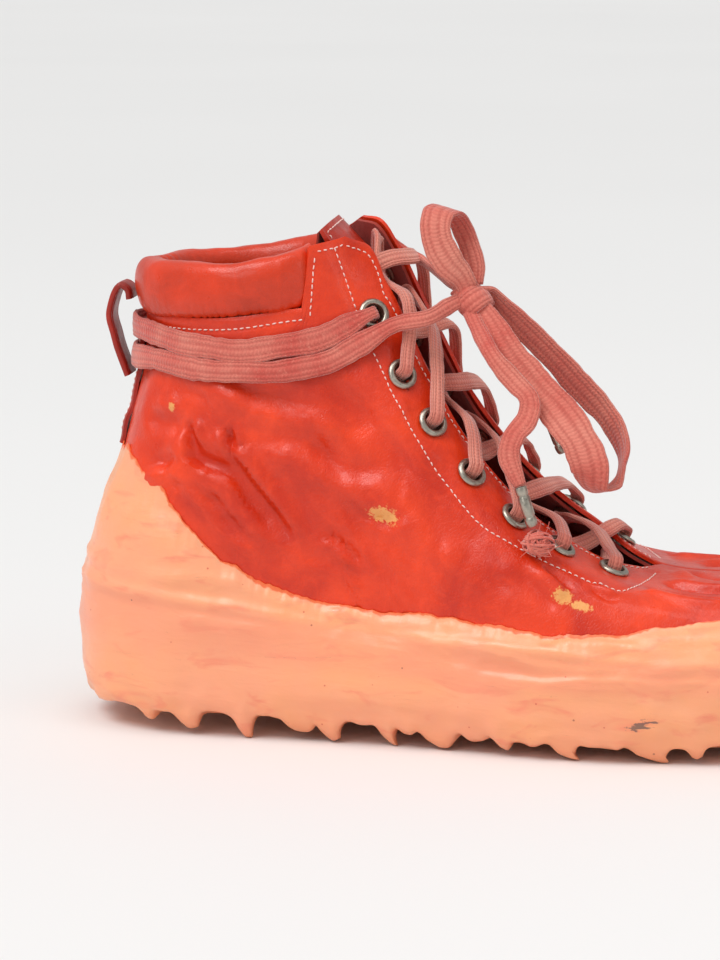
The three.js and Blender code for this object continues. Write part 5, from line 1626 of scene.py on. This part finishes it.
class BootLinings(bpy.types.Operator):
    """Make the lining, the facings' backing and the sock liner"""

    bl_idname = "boot.linings"
    bl_label = "Linings"

    def execute(self, context):
        stiff = (-LEATHER - PLY_GAP, -LEATHER - PLY_GAP - STIFFENER)
        inner = (stiff[1] - PLY_GAP, stiff[1] - PLY_GAP - LINING)
        columns = even_stations(0.02, LAST, 2.6, 2.0, (FACING_REAR, 5.0, THROAT))
        grids = []
        for side in (LATERAL, MEDIAL):
            v = np.linspace(0, 1, 46)[:, None] * lining_top(side, columns)
            s = np.broadcast_to(columns, v.shape)
            points, out = skin(side, s, v), normal(side, s, v)
            ripple = (0.35 * lumps(points, 16, 21))[..., None]
            low, high = points + out * (inner[1] + ripple), points + out * (inner[0] + ripple * 0.5)
            grids.append((low, high, side > 0))
        lining = material_for("lining")
        dress(sheet("upper_lining_hide", grids), lining, "boot", ["upper_lining"], "lining_leather")

        for side, name in ((LATERAL, "facing_lateral"), (MEDIAL, "facing_medial")):
            columns = even_stations(5.0, THROAT - 0.01, 1.5, 3.2, (5.2, 5.3))
            rear = through(FACING_LINE, columns)
            top = np.minimum(top_level(side, columns), TOP) - 0.02
            v = rear + np.linspace(0, 1, 22)[:, None] * (top - rear)
            s = np.broadcast_to(columns, v.shape)
            points, out = skin(side, s, v), normal(side, s, v)
            grid = (points + out * stiff[1], points + out * stiff[0], side > 0)
            piece = sheet(name + "_backing", [grid], HOLES[side], 3.7)
            dress(piece, lining, "boot", [name], "lining_leather")
        self.sock()
        return {"FINISHED"}

    def sock(self):
        """A sock liner, dished under the heel and ball, with a rolled edge."""
        columns = even_stations(0, LAST, 4, 0.0)
        inset = LEATHER + STIFFENER + LINING + 2 * PLY_GAP + 0.5 + 1.4
        grids = []
        for side in (LATERAL, MEDIAL):
            edges = {}
            for k in (side, -side):
                out = unit(normal(k, columns, np.zeros(len(columns))) * [1, 1, 0])
                edges[k] = skin(k, columns, np.zeros(len(columns))) - out * inset
            centre = (edges[side] + edges[-side]) / 2
            t = np.linspace(0, 1, 15)[:, None, None]
            points = centre + (edges[side] - centre) * t
            feather = skin(LATERAL, columns, np.zeros(len(columns)))[:, 2]
            dish = 0.8 * (t[..., 0] ** 2) - 0.5
            roll = -1.1 * smooth((t[..., 0] - 0.93) / 0.07)
            low, high = points.copy(), points.copy()
            low[..., 2] = feather + 0.02
            high[..., 2] = feather + 3 + dish - 0.3 + roll + 0.12 * waves(points, 18, 33)
            grids.append((low, high, side < 0))
        piece = sheet("sock_liner_pad", grids)
        dress(piece, material_for("lining"), "boot", ["sock_liner"], "lining_leather")


# ---- The padded collar ----
COLLAR_DEPTH, COLLAR_BULGE = 11.0, 3.2
COLLAR_END = FACING_REAR + 0.3


def collar_rings(count_along, count_around, shrink):
    """Rings of the roll's sections, from the outer side's end round the heel to the inner side's."""
    outer = np.linspace(-COLLAR_END, 0, count_along)
    along = np.concatenate([outer, np.linspace(0, COLLAR_END, count_along)[1:]])
    angle = np.linspace(0, 2 * math.pi, count_around, endpoint=False)
    rings = []
    for a in along:
        side, s = (LATERAL if a <= 0 else MEDIAL), abs(a)
        seam = skin(side, s, COLLAR_SEAM - 0.02)
        rim = skin(side, s, TOP)
        out = unit(normal(side, s, (COLLAR_SEAM + TOP) / 2) * [1, 1, 0])
        half = (rim[2] - seam[2]) / 2
        bulge = float(np.interp(s, [3.9, FACING_REAR, COLLAR_END], [COLLAR_BULGE, 1.0, -3.5]))
        centre = seam + (rim - seam) * 0.5 + out * (bulge - COLLAR_DEPTH / 2)
        width, tall = COLLAR_DEPTH / 2 - shrink, half - shrink
        ring = centre + np.outer(np.sign(np.cos(angle)) * np.abs(np.cos(angle)) ** 0.78, out) * width
        ring[:, 2] = centre[2] + tall * np.sign(np.sin(angle)) * np.abs(np.sin(angle)) ** 0.74
        rings.append(ring)
    return np.array(rings), along, angle


class BootCollar(bpy.types.Operator):
    """Make the padded collar: a stuffed roll of soft leather, sewn down along its lower edge"""

    bl_idname = "boot.collar"
    bl_label = "Padded collar"

    def execute(self, context):
        rings, along, angle = collar_rings(150, 56, 0.35)
        centres = rings.mean(1, keepdims=True)
        out = unit(rings - centres)
        lump = 0.4 * lumps(rings, 24, 51) + 0.06 * lumps(rings, 9, 52)
        seam = np.exp(-((np.angle(np.exp(1j * (angle - (1.5 * math.pi)))) / 0.9) ** 2))
        pucker = np.abs(np.sin(along[:, None] * 17 + 1.3 * np.sin(along[:, None] * 5.1) + 0.4 * angle)) ** 0.7
        bend = smooth(1 - np.abs(along) / 1.1)[:, None]
        inner = smooth(-np.cos(angle) + 0.4)
        fold = np.abs(np.sin(along[:, None] * 15 + 0.8 * np.sin(angle) + 0.5)) ** 0.6 - 0.6
        height = lump + 0.55 * seam * (pucker - 0.7) + 0.9 * bend * inner * fold
        rings = rings + out * np.clip(height, -1.2, 0.7)[..., None]
        piece = ring_tube("collar_roll", rings)
        dress(piece, material_for("collar"), "boot", ["collar_cover", "collar_foam"], "leather_red")
        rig.padded(piece, fill=0.75)
        return {"FINISHED"}


# ---- The tongue ----
TONGUE_BOTTOM, TONGUE_RISE = 10.8, 6
TONGUE_DEPTHS = [(6, 10.6), (6.6, 12.6), (7.4, 13.4), (8, 12.8), (9, 10.6), (10, 8.4), (10.8, 7)]
TONGUE_WIDTHS = [(5, 17), (6, 15), (8, 17), (10, 15), (10.8, 13)]
TONGUE_CURVE = [(4.6, 0.012), (5.6, 0.022), (6.5, 0.028), (8, 0.014), (10, 0.006)]
TONGUE_LEATHER, TONGUE_LINING, FIT_GAP = 1.1, 0.9, 0.5
TONGUE_PAD = [(5, 3.4), (9, 2.6), (10.8, 1)]


def tongue_points(u, s, depth):
    """Points of the tongue: u runs across it from -1 to 1, and a station below 6 stands above the shaft."""
    at = np.maximum(s, RIDGE_TOP)
    top = np.full(np.shape(at), float(TOP))
    ahead = unit((skin(LATERAL, at + 0.15, top) - skin(LATERAL, at, top)) * [1, 0, 1])
    inward = np.stack([ahead[..., 2], 0 * at, -ahead[..., 0]], -1)
    y = u * through(TONGUE_WIDTHS, s)
    drop = through(TONGUE_DEPTHS, at) + depth + through(TONGUE_CURVE, s) * y * y
    p = skin(LATERAL, at, top) + inward * drop[..., None] + ahead * ((s - at) * (TONGUE_RISE + 5))[..., None]
    p[..., 1] += y
    return p


class BootTongue(bpy.types.Operator):
    """Make the tongue: a dark leather face, a thin pad and a lining, free at the top"""

    bl_idname = "boot.tongue"
    bl_label = "Tongue"

    def execute(self, context):
        near = TONGUE_LEATHER + FIT_GAP
        whole = np.concatenate([np.linspace(4.6, 6, 20)[:-1], np.linspace(6, TONGUE_BOTTOM, 110)])[None]

        def layer(name, stations, upper, lower, inset, material, puff, amount, replaces, slot):
            """One layer of the tongue, from a depth under its face to another."""
            u = np.linspace(-1, 1, 41)[:, None] * inset
            grid_s, grid_u = np.broadcast_arrays(stations, u)
            base = tongue_points(grid_u, grid_s, np.zeros(grid_s.shape))
            wrinkle = amount * lumps(base, 13, 61) + amount * 0.7 * waves(base * [1.6, 0.35, 1.0], 9, 62)
            rim = np.minimum((1 - np.abs(grid_u) / inset) / 0.12, (grid_s - 4.6) / 0.25)
            crown = puff * (1 - smooth(rim))
            face = upper(grid_s) + crown - wrinkle
            high = tongue_points(grid_u, grid_s, face)
            low = tongue_points(grid_u, grid_s, np.maximum(lower(grid_s) - crown, face + 0.3))
            piece = sheet(name, [(low, high, False)])
            return dress(piece, material, "tongue", replaces, slot)

        def pad_end(x):
            """The depth of the pad's inner side."""
            return near * smooth((x - 4.6) / 0.3 + 0.4) + through(TONGUE_PAD, x) * smooth((x - 4.62) / 0.5)

        layer(
            "tongue_face", whole, lambda x: 0 * x, lambda x: 0 * x + TONGUE_LEATHER, 1.0,
            material_for("tongue"), 0.0, 0.35, ["tongue_leather"], "leather_dark",
        )
        pad = layer(
            "tongue_pad", whole[:, whole[0] > 5.1], lambda x: 0 * x + near, lambda x: pad_end(x) + 0.05, 0.9,
            material_for("foam"), 0.5, 0.0, ["tongue_foam"], "padding_foam",
        )
        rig.padded(pad, fill=0.5)
        layer(
            "tongue_back", whole, lambda x: pad_end(x) + FIT_GAP,
            lambda x: pad_end(x) + FIT_GAP + TONGUE_LINING, 1.0,
            material_for("lining"), 0.0, 0.0, ["tongue_lining"], "lining_leather",
        )
        return {"FINISHED"}


# ---- Back straps ----
STRIP_FACE = 2.0
LOOP = [
    (17.6, 112), (15.6, 117), (13.4, 124), (12.4, 132), (13.2, 138), (15.6, 141.3), (17.8, 140), (18.5, 137),
]


def strip_buckle(points):
    """How far the strip over the heel seam stands off, where it has buckled."""
    return 0.35 * waves(points * [0.2, 0.1, 1], 13, 71) + 0.2 * waves(points * [0.2, 0.3, 1], 5, 72)


class BootStraps(bpy.types.Operator):
    """Make the strip over the heel seam and the pull loop"""

    bl_idname = "boot.straps"
    bl_label = "Back straps"

    def execute(self, context):
        grids = []
        for side in (LATERAL, MEDIAL):
            s = np.linspace(0, 0.27, 9)[None]
            v = np.linspace(2.12, COLLAR_SEAM - 0.1, 90)[:, None]
            s, v = np.broadcast_arrays(s, v)
            points, out = skin(side, s, v), normal(side, s, v)
            buckle = strip_buckle(points)[..., None]
            rim = (0.5 * smooth((s - 0.21) / 0.06))[..., None]
            low, high = points + out * (0.35 + buckle), points + out * (STRIP_FACE + buckle - rim)
            grids.append((low, high, side > 0))
        strap = material_for("strap")
        dress(sheet("heel_strip_leather", grids), strap, "boot", ["heel_strip"], "leather_dark")

        stops = []
        for k, (x, z) in enumerate(LOOP):
            x0, z0 = LOOP[max(k - 1, 0)]
            x1, z1 = LOOP[min(k + 1, len(LOOP) - 1)]
            stops.append((np.array([x, 0, z]), unit([-(z1 - z0), 0, x1 - x0]), 12))
        piece = self.strap("pull_loop_strap", stops, 2.1)
        dress(piece, strap, "pull_loop_body", ["pull_loop"], "leather_dark")
        return {"FINISHED"}

    def strap(self, name, stops, thickness):
        """A leather strap with rounded cut edges and a line pressed along each."""
        line, facing, width, _ = evened(*strap_line(stops, 12), 0.8)
        tangent = unit(np.gradient(line, axis=0))
        facing = unit(facing - (facing * tangent).sum(1)[:, None] * tangent)
        across = np.cross(facing, tangent)
        half = np.array([0.2, 0.34, 0.38, 0.42, 0.46, 0.485, 0.5])
        x = np.concatenate([-half[::-1], [0], half])
        y = 0.5 * np.sqrt(np.maximum(0, 1 - (np.abs(x) / 0.5) ** 14))
        y -= 0.14 * np.exp(-(((np.abs(x) - 0.38) / 0.025) ** 2))
        section = np.concatenate([np.stack([x, -y], -1), np.stack([x[-2:0:-1], y[-2:0:-1]], -1)])
        sway = 0.25 * waves(line, 11, 81)
        rings = (
            line[:, None]
            + across[:, None] * (section[None, :, 0] * width[:, None])[..., None]
            + facing[:, None] * (section[None, :, 1] * thickness + sway[:, None])[..., None]
        )
        return ring_tube(name, rings, sharp=50)


# ---- Eyelets ----


class BootEyelets(bpy.types.Operator):
    """Make one eyelet and copy it to the fourteen holes"""

    bl_idname = "boot.eyelets"
    bl_label = "Eyelets"

    def execute(self, context):
        low = UNDER_FLANGE - FLANGE
        wall = EYELET_HOLE + 0.4
        profile = [
            (wall, 0.1), (wall + 0.9, 0.35), (EYELET_RADIUS - 0.35, 0.25), (EYELET_RADIUS, 0.35),
            (EYELET_RADIUS + 0.02, 0.7), (EYELET_RADIUS - 0.25, 1.1), (EYELET_RADIUS - 0.75, 1.45),
            (EYELET_RADIUS - 1.25, 1.52), (EYELET_HOLE + 0.35, 1.35), (EYELET_HOLE + 0.08, 1.0),
            (EYELET_HOLE, 0.5),
            (EYELET_HOLE, low + 0.6), (EYELET_HOLE + 0.2, low + 0.1), (EYELET_RADIUS - 0.9, low),
            (EYELET_RADIUS - 0.5, low + 0.3), (EYELET_RADIUS - 0.6, low + 0.7), (wall, low + 0.75),
            (wall, 0.1),
        ]
        template = lathe("eyelet_template", profile, 48)
        for side, word in ((LATERAL, "lateral"), (MEDIAL, "medial")):
            for k, (centre, out, _, _) in enumerate(EYELETS[side]):
                name = f"eyelet_{word}_{k + 1}"
                ring = stood(template, name + "_ring", centre, out)
                dress(ring, material_for("pewter"), "boot", [name], "pewter_metal")
        bpy.data.objects.remove(template)
        return {"FINISHED"}


# ---- Stitching ----


def stitch_row(name, points, normals, body="boot"):
    """A row of stitches: each a short rounded bar that dips into the leather at both ends."""
    sizes = bpy.context.scene.boot_sizes
    pitch, thick = sizes.stitch_pitch / MM, sizes.thread / MM
    length = arc_length(points)
    count = int(length[-1] / pitch)
    rng = np.random.default_rng(len(points))
    turn = 2 * math.pi * np.arange(6) / 6
    stations = [(0.0, 0.45, -0.35), (0.2, 0.9, 0.15), (0.5, 1.0, 0.35), (0.8, 0.9, 0.15), (1.0, 0.45, -0.35)]
    made, faces = [], []
    for k in range(count):
        start = k * pitch + rng.uniform(-0.08, 0.08)
        span = pitch * rng.uniform(0.64, 0.74)
        lean = rng.uniform(-0.1, 0.1)
        at = np.clip([start + share * span for share, _, _ in stations], 0, length[-1])
        p = along_line(at, length, points)
        out = unit(along_line(at, length, normals))
        along = unit(p[-1] - p[0] + 1e-9)
        first = len(made)
        for (share, size, lift), q, up in zip(stations, p, out):
            across = unit(np.cross(up, along))
            middle = q + up * lift * thick + across * lean * (share - 0.5) * 2
            for a in turn:
                wide = across * math.cos(a) * thick * 0.55 * size
                made.append(middle + wide + up * math.sin(a) * thick * 0.45 * size)
        for r in range(len(stations) - 1):
            for a in range(6):
                b = (a + 1) % 6
                one, two = first + r * 6, first + (r + 1) * 6
                faces.append([one + b, one + a, two + a, two + b])
        end = first + (len(stations) - 1) * 6
        faces.append([first + a for a in range(6)])
        faces.append([end + a for a in range(6)][::-1])
    piece = mesh_object(name, np.array(made), faces)
    return dress(piece, material_for("thread"), body)


def tongue_seam():
    """Points and outward directions of the row of stitches round the tongue's free end."""
    across = np.concatenate([np.full(30, -0.9), np.linspace(-0.9, 0.9, 60), np.full(30, 0.9)])
    station = np.concatenate([np.linspace(6.6, 4.78, 30), np.full(60, 4.78), np.linspace(4.78, 6.6, 30)])
    points = tongue_points(across, station, np.full(len(across), -0.25))
    return points, unit(points - tongue_points(across, station, np.full(len(across), 1.0)))


class BootStitching(bpy.types.Operator):
    """Sew the seams of the upper and the back straps"""

    bl_idname = "boot.stitching"
    bl_label = "Stitching"

    def execute(self, context):
        for side, word in ((LATERAL, "lateral"), (MEDIAL, "medial")):
            for name, pairs in seams(side).items():
                s, v = path_on_skin(side, pairs, 0.7)
                out = normal(side, s, v)
                height, _ = upper_relief(side, s, v)
                points = skin(side, s, v) + out * (height + 0.12)[:, None]
                stitch_row(f"stitches_{name}_{word}", points, out)
            v = np.linspace(2.25, COLLAR_SEAM - 0.14, 80)
            s = np.full(len(v), 0.19)
            out = normal(side, s, v)
            points = skin(side, s, v)
            height = STRIP_FACE + strip_buckle(points)
            stitch_row(f"stitches_heel_strip_{word}", points + out * height[:, None], out)
        stitch_row("stitches_tongue", *tongue_seam(), "tongue")
        return {"FINISHED"}


# ---- The rubber ----
RUBBER_FLARE, HEEL_FLARE, RUBBER_EDGE, RUBBER_FIT, RUBBER_FLOOR = 5.5, 4, 1.1, 0.9, 4
# Drips from the bottom edge: station, length as a share of the way to the ground, width, lean along the edge.
LATERAL_DRIPS = [
    (1.75, 0.4, 3.4, 0.5), (2.35, 0.72, 5.0, 1.8), (3.05, 1.0, 3.6, 1.4), (3.75, 0.55, 8.0, 0.6),
    (4.15, 0.95, 5.0, 2.2), (5.15, 1.0, 3.4, 2.6), (5.55, 0.3, 5.0, 0), (6.25, 1.0, 6.8, 0.4),
    (7.05, 0.3, 7, 0.5), (7.7, 0.5, 4.6, 0.8), (8.2, 0.2, 9, 0), (8.95, 0.9, 4.4, 4.2),
    (9.7, 0.2, 9, 0), (10.25, 1.0, 6.8, 4.0),
    (10.75, 0.6, 3.6, 1.4), (11.7, 0.95, 6, 1.5), (12.8, 0.5, 5, 1), (13.5, 0.3, 4, 0),
]
MEDIAL_DRIPS = [
    (1.4, 0.9, 6, 0.8), (2.7, 0.45, 5, 0), (3.4, 1.0, 6, 1.4), (4.6, 0.4, 6, 0), (5.6, 1.0, 6, -1),
    (6.6, 0.5, 6, 1), (7.5, 0.7, 5, 1), (8.5, 1.0, 6.4, 1.5), (9.6, 0.4, 6, 0), (10.6, 1.0, 6, 2),
    (11.6, 0.5, 5, 0), (12.6, 0.8, 6, 1),
]
# Rows round the bottom edge: how far in from the wall, and how high over the sole.
EDGE_ROWS = (-14, -11.5, -10, -8.8, -7.6, -6.4, -5.2, -4, -2.8, -1.7, -0.9, -0.45)
EDGE_RISES = (0, 0, 0, 0, 0, 0, 0, 0.25, 0.8, 1.9, 3.4, 5.2)
# Ledges left by each dip: height at the heel, waist, ball and toe, and the share of the full ledge.
LEDGES = [
    ((50, 38, 33, 36), 1.2), ((43, 34, 30, 33), 0.7), ((35, 27, 26, 30), 1.0), ((28, 22, 22, 26), 0.6),
    ((23, 17.5, 18, 22), 0.9), ((57, 44, 36, 39), 0.5),
]


class BootRubber(bpy.types.Operator):
    """Make the dipped rubber: a cup with ledges, blotches and drips that have set as they ran"""

    bl_idname = "boot.rubber"
    bl_label = "Dipped rubber"

    def execute(self, context):
        grids = []
        for side, drips in ((LATERAL, LATERAL_DRIPS), (MEDIAL, MEDIAL_DRIPS)):
            low, high, values = self.half(side, drips)
            grids.append((low, high, side > 0, values))
        piece = sheet("rubber_dip_coat", grids, sharp=60)
        dress(piece, material_for("rubber"), "boot", ["rubber_dip"], "dipped_rubber")
        return {"FINISHED"}

    def outline(self, side, s, n, z):
        """Points of the sole's outline, moved out sideways by n, at height z."""
        zero = np.zeros(np.shape(s))
        out = unit(normal(side, s, zero) * [1, 1, 0])
        p = skin(side, s, zero) + out * np.broadcast_to(n, np.shape(s))[..., None]
        p[..., 2] = z
        return p

    def half(self, side, drips):
        """One side of the cup, as rows from the middle of the sole up to the rim."""
        base = even_stations(0, LAST, 1.7, 0.0)
        length = arc_length(skin(side, base, 0 * base))
        middles = [float(np.interp(s, base, length)) for s, _, _, _ in drips]
        fine = [m + d for m, drip in zip(middles, drips) for d in np.arange(-7, 9.5, 0.62)]
        fine = np.clip(fine, 0, length[-1])
        both = np.sort(np.concatenate([length, fine]))
        keep = [both[0]]
        for x in both[1:]:
            if x - keep[-1] > 0.5:
                keep.append(x)
        keep[-1] = length[-1]
        arc = np.array(keep)
        s = np.interp(arc, length, base)
        s[0], s[-1] = 0, LAST

        floor_z = through(BOTTOM, s)
        floor_top = floor_z + RUBBER_FLOOR
        feather = skin(LATERAL, s, 0 * s)[:, 2]
        flare = RUBBER_FLARE + HEEL_FLARE * np.maximum(0, 1 - s / 2.5) ** 1.5
        wall = feather - floor_top
        mid = (self.outline(side, s, RUBBER_FIT, 0.0) + self.outline(-side, s, RUBBER_FIT, 0.0)) / 2
        edge = self.outline(side, s, RUBBER_FIT, 0.0)
        outside, inside = [], []
        place = skin(side, s, 0 * s)
        rim_level = through(RUBBER_TOP, s)
        ragged = 0.022 * waves(place, 5, 91) + 0.03 * waves(place, 13, 92) + 0.012 * waves(place, 2.2, 93)
        ends = smooth(s / 0.3) * smooth((LAST - s) / 0.3)
        rim_level = rim_level + ragged * ends * (0.6 + 0.4 * smooth((4 - s) / 1))

        def row(low, high, low_z=None, high_z=None):
            low, high = low.copy(), high.copy()
            if low_z is not None:
                low[:, 2] = low_z
            if high_z is not None:
                high[:, 2] = high_z
            inside.append(low)
            outside.append(high)

        for t in (0.0, 0.35, 0.65):
            flat = mid + (edge - mid) * t
            row(flat, flat, floor_top, floor_z + 0.6 * (1 - t))
        for n, rise in zip(EDGE_ROWS, EDGE_RISES):
            reach = flare + n
            hold = np.minimum(RUBBER_FIT, reach - 1.5)
            row(self.outline(side, s, hold, floor_top), self.outline(side, s, reach, floor_z + rise))
        for t, n in ((0.15, 0.0), (0.3, 0.35), (0.45, 0.55), (0.6, 0.6), (0.8, 0.45)):
            rise = 5.2 + 9.0 * t
            row(
                self.outline(side, s, RUBBER_FIT, floor_top + wall * t),
                self.outline(side, s, flare + n, floor_z + rise),
            )
        for t in np.linspace(0, 1, 27):
            v = t * rim_level
            thick = RUBBER_EDGE + (flare - RUBBER_EDGE) * (1 - t) ** 1.3
            thin = smooth((t - 0.72) / 0.28)
            lift_in = RUBBER_FIT * (1 - thin) + 0.1 * thin
            lift_out = (RUBBER_FIT + thick) * (1 - thin) + (0.55 + 0.35 * (1 - t) / 0.28) * thin
            if t == 0:
                inner = self.outline(side, s, RUBBER_FIT, feather)
            else:
                inner = skin(side, s, v) + normal(side, s, v) * np.broadcast_to(lift_in, s.shape)[:, None]
            outer = skin(side, s, v) + normal(side, s, v) * np.broadcast_to(lift_out, s.shape)[:, None]
            row(inner, outer)
        high, low = np.array(outside), np.array(inside)
        rows = len(high)

        # the outer rows are eased, so that the bottom edge and wall run into each other
        for _ in range(2):
            high[4:-6] = 0.25 * high[3:-7] + 0.5 * high[4:-6] + 0.25 * high[5:-5]

        out = unit(np.cross(np.gradient(high, axis=0), np.gradient(high, axis=1)) * side)
        out[:, 0] *= [1, 0, 1]
        out[:, -1] *= [1, 0, 1]
        out = unit(out)
        top_share = np.linspace(0, 1, rows)[:, None]
        on_wall = smooth((np.arange(rows)[:, None] - 12) / 4)
        near_rim = smooth((rows - 1 - np.arange(rows)[:, None]) / 5)
        x = high[..., 0]
        z = high[..., 2]
        ledge = bpy.context.scene.boot_sizes.ledge / MM
        swell = np.zeros(x.shape)
        for k, (heights, share) in enumerate(LEDGES):
            line = np.interp(x, [0, 100, 190, 290], heights)
            plan = high * [1, 1, 0]
            line = line + 1.1 * waves(plan, 60, 101 + k) + 0.3 * waves(plan, 14, 121 + k)
            strong = 0.55 + 0.45 * waves(plan, 70, 141 + k)
            d = z - line
            step = np.where(d > 0, np.exp(-((d / 1.5) ** 2)), np.exp(-((d / 4.5) ** 2)))
            swell += ledge * share * np.clip(strong, 0.1, 1.2) * step
        lump = 0.35 * lumps(high, 26, 161) + 0.16 * lumps(high * [0.6, 0.6, 1.4], 9, 162)
        height = (swell + lump) * on_wall * near_rim
        height += 0.5 * lumps(high, 12, 163) * smooth(1 - np.abs(top_share - 0.24) / 0.16) * near_rim
        edge_fade = (smooth(s / 0.15) * smooth((LAST - s) / 0.15))[None]
        high = high + out * (height * (0.25 + 0.75 * edge_fade))[..., None]

        # the drips: rows near the bottom edge are drawn down, and lean along the edge as they fall
        reach = np.concatenate([[-40, -30, -20], EDGE_ROWS])
        across = np.zeros(rows)
        across[: len(reach)] = np.exp(-(np.abs((reach + 5.6) / 3.3) ** 2.6))
        along_dir = unit(np.gradient(high, axis=1))
        fall = np.zeros(len(s))
        lean = np.zeros(len(s))
        for m, (_, share, width, tilt) in zip(middles, drips):
            d = arc - m
            # the near side of a drip runs long, as a curtain does, and the far side is cut short
            spread = np.where(d < 0, width * 0.75, width * 0.5)
            profile = 1 / (1 + np.abs(d / spread) ** 3.2)
            longer = share * profile
            lean = np.where(longer > fall, tilt * np.clip(1.15 * profile - 0.15, 0, 1), lean)
            fall = np.maximum(fall, longer)
        arch = 1.9 * (1 - smooth(fall / 0.5))
        high[..., 2] += across[:, None] * arch[None]
        room = np.maximum(floor_z - 0.25, 0.5)
        depth = across[:, None] * (fall * room)[None]
        share_down = depth / np.maximum(room[None], 1)
        high[..., 2] -= depth
        high += along_dir * (lean[None] * share_down**1.6)[..., None] * edge_fade[..., None]
        high[..., 2] = np.maximum(high[..., 2], 0.12)

        film_width = 0.8 + 0.8 * waves(place, 45, 171)
        to_rim = np.linalg.norm(high - high[-1:], axis=-1)
        film = np.clip(1.25 - to_rim / np.maximum(film_width, 0.25)[None], 0, 1)
        mark = np.zeros(x.shape)
        if side == LATERAL:
            scuffed = np.array([188.5, 0, 13.5])
            d = (high - scuffed) * [1, 0, 1]
            slant = d[..., 0] * 0.95 + d[..., 2] * 0.3
            rise = d[..., 2] * 0.95 - d[..., 0] * 0.3
            mark = np.exp(-((slant / 5.5) ** 2) - (rise / 1.6) ** 2)
        # under marks the underside and bottom edge rows, which the rubber's colour darkens as painted shade
        under = smooth((14 - np.arange(rows)) / 6)[:, None] * np.ones(x.shape)
        above = np.interp(x, [0, 100, 190, 290], LEDGES[3][0])
        below = np.interp(x, [0, 100, 190, 290], LEDGES[0][0])
        band = smooth((z - above) / 1.5) * smooth((below - z + 1) / 3)
        return low, high, {"film": film, "mark": mark, "under": under, "band": band}


# ---- Inner parts ----


class BootInner(bpy.types.Operator):
    """Give the hidden parts of the CAD model their materials"""

    bl_idname = "boot.inner"
    bl_label = "Inner parts"

    def execute(self, context):
        stuff = {
            "heel_counter": "board", "toe_puff": "board", "lasting_board": "board", "steel_shank": "steel",
            "midsole_block": "foam",
        }
        for name, key in stuff.items():
            mesh = frame["nodes"][name].data
            mesh.materials.clear()
            mesh.materials.append(material_for(key))
        return {"FINISHED"}


class BootPanel(bpy.types.Panel):
    """The boot's sizes, colours and pieces"""

    bl_idname = "VIEW3D_PT_boot"
    bl_label = "Boot"
    bl_space_type = "VIEW_3D"
    bl_region_type = "UI"
    bl_category = "Boot"

    def draw(self, context):
        for group in (context.scene.boot_sizes, context.scene.boot_colours):
            for key in group.__annotations__:
                self.layout.prop(group, key)
        for operator in OPERATORS:
            self.layout.operator(operator.bl_idname)


OPERATORS = (
    BootStage, BootBow, BootLacing, BootUpper, BootLinings, BootCollar, BootTongue, BootStraps, BootEyelets,
    BootStitching, BootRubber, BootInner,
)
CLASSES = (BootSizes, BootColours, *OPERATORS, BootPanel)


def register():
    """Adds the classes and the scene's settings."""
    for cls in CLASSES:
        bpy.utils.register_class(cls)
    bpy.types.Scene.boot_sizes = bpy.props.PointerProperty(type=BootSizes)
    bpy.types.Scene.boot_colours = bpy.props.PointerProperty(type=BootColours)


def unregister():
    """Takes them away again."""
    del bpy.types.Scene.boot_colours
    del bpy.types.Scene.boot_sizes
    for cls in reversed(CLASSES):
        bpy.utils.unregister_class(cls)


def main():
    """Builds the boot piece by piece, and writes how large it came out."""
    register()
    for operator in OPERATORS:
        group, call = operator.bl_idname.split(".")
        getattr(getattr(bpy.ops, group), call)()
    size = {"cad": [list(c) for c in CAD_BOX], "visual": [list(c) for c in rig.bounds()]}
    with open("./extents.json", "w") as file:
        json.dump(size, file)


if __name__ == "__main__":
    main()
